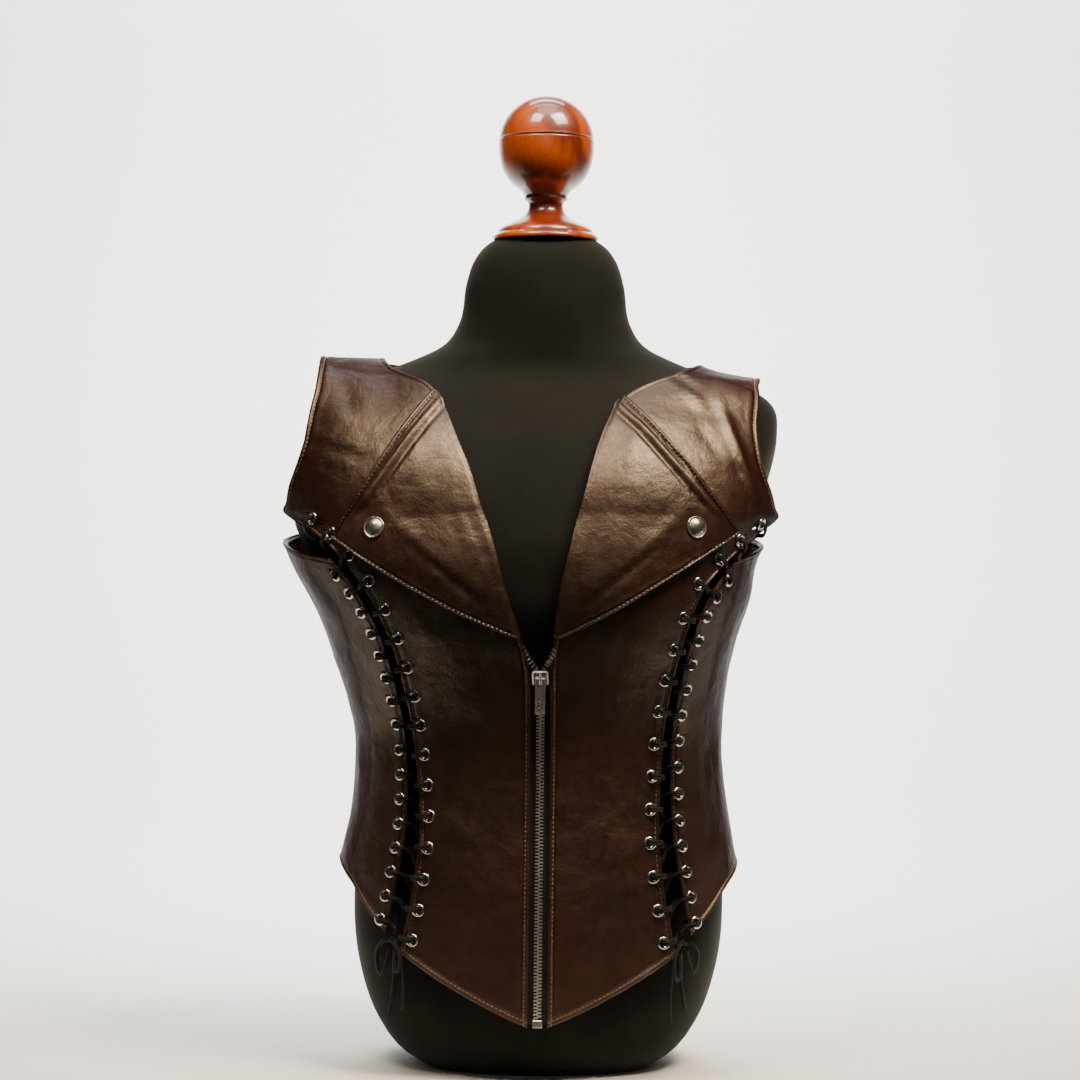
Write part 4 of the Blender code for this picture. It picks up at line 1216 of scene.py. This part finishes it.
def make_torso(finish):
    segments = 96
    levels = np.concatenate([[0, 1.5, 4, 8, 14, 22], np.linspace(32, 440, 60), np.linspace(446, 606, 70)])
    turns = np.linspace(0, 2 * math.pi, segments + 1)
    rings = []
    for z in levels:
        power = 2 / FORM.read("squareness", z)
        width = np.where(np.sin(turns) < 0, FORM.read("right", z), FORM.read("left", z))
        x = width * np.sign(np.sin(turns)) * np.abs(np.sin(turns)) ** power
        front, back = FORM.read("front", z), FORM.read("back", z)
        depth = np.where(np.cos(turns) >= 0, front, back)
        y = -depth * np.sign(np.cos(turns)) * np.abs(np.cos(turns)) ** power
        rings.append(np.stack([x, y, np.full_like(x, z)], axis=1))
    made = new_grid("form_torso_jersey", np.array(rings), wrap=True)
    finish_piece(made, finish, nodes=["form_torso"], angle=60)


def make_finial(finish):
    base = 606.0 + SEAM_GAP
    foot = [
        (0, 0), (38.6, 0), (39.3, 0.6), (39.4, 2.0), (38.6, 3.4), (36.8, 4.6), (35.6, 5.6), (35.4, 6.6),
        (34.6, 8.2), (31.5, 10.4), (27.0, 12.8), (22.6, 15.0), (18.6, 17.2), (15.6, 19.6), (13.6, 22.2),
        (12.7, 25.0), (12.8, 27.4), (13.8, 29.0), (15.6, 30.0), (16.2, 31.2), (15.8, 32.6), (15.6, 33.6),
    ]
    ball = []
    for turn in np.radians(np.linspace(-62, 90, 60)):
        fuller = 1 + 0.16 * max(0.0, -math.sin(turn)) ** 1.5
        height = BALL_MIDDLE + BALL_RADIUS * math.sin(turn) * (1.12 if turn < 0 else 1)
        ball.append((max(BALL_RADIUS * math.cos(turn) * fuller, 0), height))
    ball[-1] = (0, ball[-1][1])
    groove = BALL_MIDDLE + 3.0
    lip = BALL_RADIUS * 0.997
    cut = [(lip, groove - 1.0), (lip - 0.35, groove - 0.5), (lip - GROOVE_DEPTH, groove)]
    cut += [(lip - 0.35, groove + 0.5), (lip, groove + 1.0)]
    low = [p for p in ball if p[1] < groove - 1.4]
    high = [p for p in ball if p[1] > groove + 1.4]
    made = spin_profile(foot + low + cut + high, 96)
    made.data.transform(Matrix.Scale(MM, 4))
    made.data.transform(Matrix.Translation(Vector((0, 4, base)) * MM))
    made.name = "form_finial_turned"
    finish_piece(made, finish, nodes=["form_finial"], angle=35)


def make_front(side, finish, thread):
    name = f"front_panel_{side}"
    coarse = front_grid(side, body_rows=26, arch_rows=16, columns=13)
    row_places = places(500.0, 3.2)
    column_places = places(115.0, 2.1)
    fine = refined(coarse, row_places, column_places)
    inner, outer = lengths_along(fine, 1)
    hem, seam = lengths_along(fine, 0)
    level = fine[..., 2]
    beside_zip = np.where(level < ZIP_TOP + 8, turned_edge(inner, width=6.0), 0.4 * turned_edge(inner, 6.0))
    relief = beside_zip + turned_edge(outer, 10.0) + turned_edge(hem, 8.0)
    relief += 0.3 * np.exp(-((seam / 4.0) ** 2))
    relief += creases_of(name, fine) + soft_relief(fine, 0.55, seed=SIDES[side] * 3.1)
    holes = [Vector(m) for m, _, _ in eyelets(side, "front")]
    on = leather_shell(name, fine, relief, finish, holes)
    along_zip = [s for s in inset_line(on, 0, False, 3.0) if s[0][2] < ZIP_TOP + 6]
    lines = [inset_line(on, 0, True), inset_line(on, 1, False), along_zip]
    sew(f"{name}_stitches", lines, thread)
    return on


def make_side(side, finish, thread):
    name = f"side_panel_{side}"
    coarse = side_grid(side, rows=22, columns=14)
    fine = refined(coarse, places(270.0, 3.0), places(190.0, 2.6))
    front, back = lengths_along(fine, 1)
    hem, top = lengths_along(fine, 0)
    relief = turned_edge(front, 10.0) + turned_edge(hem, 8.0) + turned_edge(top, 9.0)
    relief += 0.25 * np.exp(-((back / 3.0) ** 2))
    relief += soft_relief(fine, 0.9, size=30.0, seed=5.0 + SIDES[side])
    holes = [Vector(m) for m, _, _ in eyelets(side, "side")]
    on = leather_shell(name, fine, relief, finish, holes)
    lines = [inset_line(on, axis, last) for axis, last in ((0, False), (1, False), (1, True))]
    sew(f"{name}_stitches", lines, thread)
    return on


def make_back(finish, thread):
    coarse = back_grid(rows=20, arch_rows=16)
    fine = refined(coarse, places(400.0, 4.0), places(280.0, 4.0))
    left, right = lengths_along(fine, 1)
    hem, top = lengths_along(fine, 0)
    relief = turned_edge(hem, 8.0) + turned_edge(top, 8.0)
    relief += 0.25 * np.exp(-((np.minimum(left, right) / 3.0) ** 2)) + soft_relief(fine, 0.7, seed=11.0)
    on = leather_shell("back_panel", fine, relief, finish)
    lines = [inset_line(on, 1, last) for last in (False, True)]
    lines += [inset_line(on, 0, last, 2.4) for last in (False, True)]
    sew("back_panel_stitches", lines, thread)


def make_lapel(side, finish, thread):
    name = f"lapel_{side}"
    lower, upper = lapel_grid(side, rows=14, columns=12)
    halves = [refined(half, np.linspace(0, 1, 44), places(90.0, 2.0)) for half in (lower, upper)]
    fine = np.concatenate([halves[0], halves[1][1:]])
    roll, edge = lengths_along(fine, 1)
    relief = turned_edge(edge, 8.0) + creases_of(name, fine)
    relief += soft_relief(fine, 0.6, seed=17.0 + SIDES[side])
    tip = int(len(fine) * 0.5)
    upper = np.arange(len(fine))[:, None] > tip
    height = np.clip((fine[..., 2] - 396) / 90, 0, 1)
    ridge_at = 9.0 + 3.5 * height
    fold = 1.7 * np.exp(-(((edge - ridge_at) / 2.8) ** 2))
    valley = -1.5 * np.exp(-(((edge - ridge_at - 5.5) / 2.2) ** 2))
    relief += np.where(upper, fold + valley, 0) * np.clip((fine[..., 2] - 399) / 14, 0, 1)
    relief -= 1.0 * np.exp(-((roll / 2.5) ** 2))
    rise = np.clip(roll / 38.0, 0, 1)
    lift = LAPEL_LIFT[0] + (LAPEL_LIFT[1] - LAPEL_LIFT[0]) * rise * rise * (3 - 2 * rise)
    on = leather_shell(name, fine, relief + lift, finish)
    sew(f"{name}_stitches", [inset_line(on, 0, True, 3.2)], thread)
    return on


def make_snap(side, points, finish):
    """A domed cap with a rolled rim, seated in the lapel."""
    across, height = SNAP[side]
    flat = points[..., [0, 2]] - np.array([SIDES[side] * across + VEST.read("middle", height), height])
    r, c = np.unravel_index(np.argmin(np.linalg.norm(flat, axis=2)), flat.shape[:2])
    out = grid_normals(points)[r, c]
    profile = [(0, -0.6), (SNAP_RADIUS - 0.9, -0.6), *arc((SNAP_RADIUS - 0.6, 0.15), 0.6, -80, 130, 7)]
    profile += [(SNAP_RADIUS - 1.5, 0.5)]
    cap = SNAP_RADIUS - 1.7
    profile += [(cap * s, 0.5 + 0.85 * SNAP_DOME * (1 - s**2.4)) for s in np.linspace(1, 0, 14)]
    shape = template(lambda: spin_profile(profile, 40))
    along = unit(np.cross(out, (1, 0, 0)))
    frames = [(points[r, c] + out * 0.3, np.cross(along, out), along, out)]
    copies(f"snap_{side}_cap", shape, frames, finish, nodes=[f"snap_{side}"], angle=30)


def make_eyelets(side, front, beside, finish):
    shape = eyelet_shape()
    nodes = [f"eyelet_{side}_{count:02d}" for count in range(1, EYELETS[side] + 1)]
    copies(f"eyelets_{side}_front", shape, ring_frames(side, "front", front), finish, nodes=nodes, angle=50)
    copies(f"eyelets_{side}_side", shape, ring_frames(side, "side", beside), finish, angle=50)


def make_laces(side, finish):
    route = lace_route(side)
    middle = blend_path(route, 1.5)
    ahead = np.gradient(middle, axis=0)
    ahead /= np.linalg.norm(ahead, axis=1, keepdims=True)
    away = middle * np.array([1, 1, 0])
    beside = np.cross(ahead, away)
    for k in range(1, len(beside)):
        if beside[k] @ beside[k - 1] < 0:
            beside[k] = -beside[k]
    smooth_by = np.ones(7) / 7
    padded = np.pad(beside, ((3, 3), (0, 0)), mode="edge")
    beside = np.stack([np.convolve(padded[:, k], smooth_by, "valid") for k in range(3)], axis=1)
    beside /= np.linalg.norm(beside, axis=1, keepdims=True)
    paths = [middle + beside * CORD * 0.98, middle - beside * CORD * 0.98]
    cord_piece(f"lace_{side}_strands", paths, CORD, finish, nodes=[f"lace_{side}"])
    make_bow(side, route, finish)


def make_bow(side, route, finish):
    knot = np.array(route[-1]) - np.array([0, 0, KNOT_RADIUS + SEAM_GAP])
    away = unit(np.array([knot[0], knot[1], 0]))
    along = np.array([-away[1], away[0], 0])
    down = np.array([0, 0, -1.0])
    paths = []
    for way, (wide, deep) in zip((-1, 1), LOOPS):
        loop = [
            knot + along * way * a * wide + away * out + down * low * deep
            for a, out, low in LOOP_SHAPE
        ]
        paths.append(blend_path(loop, 1.2))
    wrap = [
        knot
        + along * 2.6 * math.cos(t)
        + away * (1.2 + 2.4 * math.sin(t))
        + down * (0.6 * math.sin(2 * t) - 0.9 + 1.1 * t / 6)
        for t in np.linspace(-0.4, 2 * math.pi + 0.8, 22)
    ]
    paths.append(blend_path(wrap, 1.0))
    twist = [
        knot + along * 2.2 * math.sin(t) + down * (2.6 * math.cos(t)) + away * (0.4 + 1.6 * math.cos(2 * t))
        for t in np.linspace(0, 2 * math.pi * 0.92, 18)
    ]
    paths.append(blend_path(twist, 1.0))
    cord_piece(f"bow_{side}_loops", paths, BOW_CORD, finish, nodes=[f"bow_{side}"])
    for count, (sideways, length) in enumerate(TAILS, start=1):
        start = knot + along * sideways * 0.35 - away * 1.4 - np.array([0, 0, KNOT_RADIUS - 0.1])
        tail = [
            start
            + along * sideways * s**0.7
            - away * TAIL_BEND * math.sin(math.pi * s)
            - np.array([0, 0, length * s])
            for s in np.linspace(0, 1, 7)
        ]
        path = blend_path(tail, 1.5)
        name = f"lace_end_{side}_{count}"
        made = cord_piece(f"{name}_cord", [path], BOW_CORD, finish, nodes=[name])


def make_tapes(side, finish):
    grid = []
    for level in np.linspace(FRONT_TIP + 2, ZIP_TOP - 2, 40):
        parted = max(0.0, level - SLIDER_LEVEL - 5) / (ZIP_TOP - SLIDER_LEVEL - 5)
        inner = 0.3 + ZIP_PARTED[side] * parted**0.8
        outer = max(TAPE_WIDTH, inner + 5)
        grid.append([cloth(side, around_of(side, a, level), level) for a in np.linspace(inner, outer, 6)])
    points = np.array(grid)
    normals = grid_normals(points)
    name = f"zip_tape_{side}"
    made = new_grid(f"{name}_woven", points - normals * TAPE_DEPTH)
    with edited(made) as shape:
        face_towards(shape, 0, Vector((0, -1, 0)))
    thicken(made, TAPE_THICKNESS)
    apply_modifiers(made)
    finish_piece(made, finish, nodes=[name])


def tooth_shape():
    """One tooth: a bar across the tape's edge with a rounded, waisted head."""

    def build():
        bpy.ops.mesh.primitive_cube_add(size=1.0)
        made = bpy.context.object
        made.scale = (3.4, 1.25, 2.3)
        bpy.ops.object.transform_apply(scale=True)
        step = made.modifiers.new("round", "BEVEL")
        step.width = 0.38
        step.segments = 2
        bpy.ops.object.modifier_apply(modifier=step.name)

    return template(build)


def make_teeth(finish):
    frames = []
    low = FRONT_TIP + ZIP_BOX[1] + 1.5
    high = SLIDER_LEVEL - SLIDER[1] / 2 - 0.6
    for side, sign in SIDES.items():
        for level in np.arange(low + (TOOTH_PITCH / 2 if sign > 0 else 0), high, TOOTH_PITCH):
            here, up, out = zip_middle(level)
            sunk = TAPE_DEPTH - SEAM_GAP - CHAIN_THICKNESS / 2
            place = here - out * sunk + np.array([sign * 1.2, 0, 0])
            frames.append((place, np.array([sign * 1.0, 0, 0]), up, out))
    for side, sign in SIDES.items():
        for level in np.arange(SLIDER_LEVEL + SLIDER[1] / 2 + 0.8, ZIP_TOP - 2, TOOTH_PITCH):
            parted = max(0.0, level - SLIDER_LEVEL - 5) / (ZIP_TOP - SLIDER_LEVEL - 5)
            across = 0.3 + ZIP_PARTED[side] * parted**0.8 + 1.4
            here = cloth(side, around_of(side, across, level), level)
            _, up, out = zip_middle(level)
            lean = unit(np.array([sign * 0.8, 0, 0]) + up)
            over = unit(np.cross(lean, out))
            turned_out = (TAPE_DEPTH + 0.6) * min(max(across - 5.0, 0) / 2.5, 1) if side == "left" else 0
            place = here + out * (turned_out - TAPE_DEPTH + 2.2)
            frames.append((place, over if over[0] * sign > 0 else -over, lean, out))
    copies("zip_teeth", tooth_shape(), frames, finish, nodes=["zip_chain"], angle=40)


def dress_solids(finish):
    """The zip's slider, pull tab and box keep their solids, with softened edges and a finer finish."""
    for name in ("zip_slider", "zip_pull", "zip_box"):
        solid = bpy.data.objects[name]
        soften(solid, METAL_EDGE, 50)
        apply_modifiers(solid)
        solid.data.materials.clear()
        solid.data.materials.append(finish)


def make_camera():
    """Seen straight from the front at about bust height, with a slight roll."""
    data = bpy.data.cameras.new("camera")
    data.lens, data.sensor_width = CAMERA_LENS
    made = bpy.data.objects.new("camera", data)
    roll = Matrix.Rotation(math.radians(CAMERA_ROLL), 4, "Y")
    ahead = Matrix.Rotation(math.radians(90), 4, "X")
    made.matrix_world = Matrix.Translation(CAMERA_PLACE) @ roll @ ahead
    bpy.context.scene.collection.objects.link(made)
    bpy.context.scene.camera = made


def make_studio():
    """A pale floor that sweeps up into a wall, and soft lamps above and in front."""
    line = [(-0.2, 0.0), (0.2, 0.0), (1.6, 0.0)]
    line += [(1.6 + 1.2 * math.sin(t), 1.2 - 1.2 * math.cos(t)) for t in np.radians(np.linspace(8, 90, 14))]
    line += [(2.8, 4.5)]
    points = np.array([[(x, y, z - 0.0003) for x in (-5.0, 0.0, 5.0)] for y, z in line]) / MM
    made = new_grid("studio_sweep", points)
    made.data.materials.append(pale_paint())
    made.data.shade_smooth()
    for name, place, size, power, colour, spread, aim in LAMPS:
        lamp = bpy.data.lights.new(name, "AREA")
        lamp.size = size
        lamp.energy = power
        lamp.spread = math.radians(spread)
        lamp.color = srgb(colour)[:3]
        stand = bpy.data.objects.new(name, lamp)
        stand.location = place
        stand.rotation_euler = (Vector(aim) - Vector(place)).to_track_quat("-Z", "Y").to_euler()
        bpy.context.scene.collection.objects.link(stand)
    world = bpy.data.worlds.new("studio")
    world.use_nodes = True
    tree = world.node_tree
    back = tree.nodes["Background"]
    back.inputs["Color"].default_value = srgb("#e4e3df")
    seen = add(tree, "ShaderNodeLightPath").outputs["Is Camera Ray"]
    tree.links.new(ranged(tree, seen, 0, 1, 0.04, 0.95), back.inputs["Strength"])
    bpy.context.scene.world = world


def main():
    make_camera()
    leather = garment_leather()
    cord = braided_cord()
    thread = sewing_thread("brown_thread", "#80563f")
    dark_thread = sewing_thread("dark_thread", "#140c08")
    tape = woven_tape()
    nickel = plated("eyelet_nickel", "#c4c1bb", 0.16)
    snap_nickel = plated("snap_nickel", "#b9b4aa", 0.26)
    zip_nickel = plated("zip_nickel", "#d6d1c8", 0.24)
    make_torso(black_jersey())
    make_finial(varnished_beech())
    for side in SIDES:
        make_laces(side, cord)
        front = make_front(side, leather, thread)
        beside = make_side(side, leather, thread)
        make_eyelets(side, front, beside, nickel)
        lapel = make_lapel(side, leather, dark_thread)
        make_snap(side, lapel, snap_nickel)
        make_tapes(side, tape)
    make_back(leather, thread)
    make_teeth(zip_nickel)
    dress_solids(zip_nickel)
    make_studio()


main()
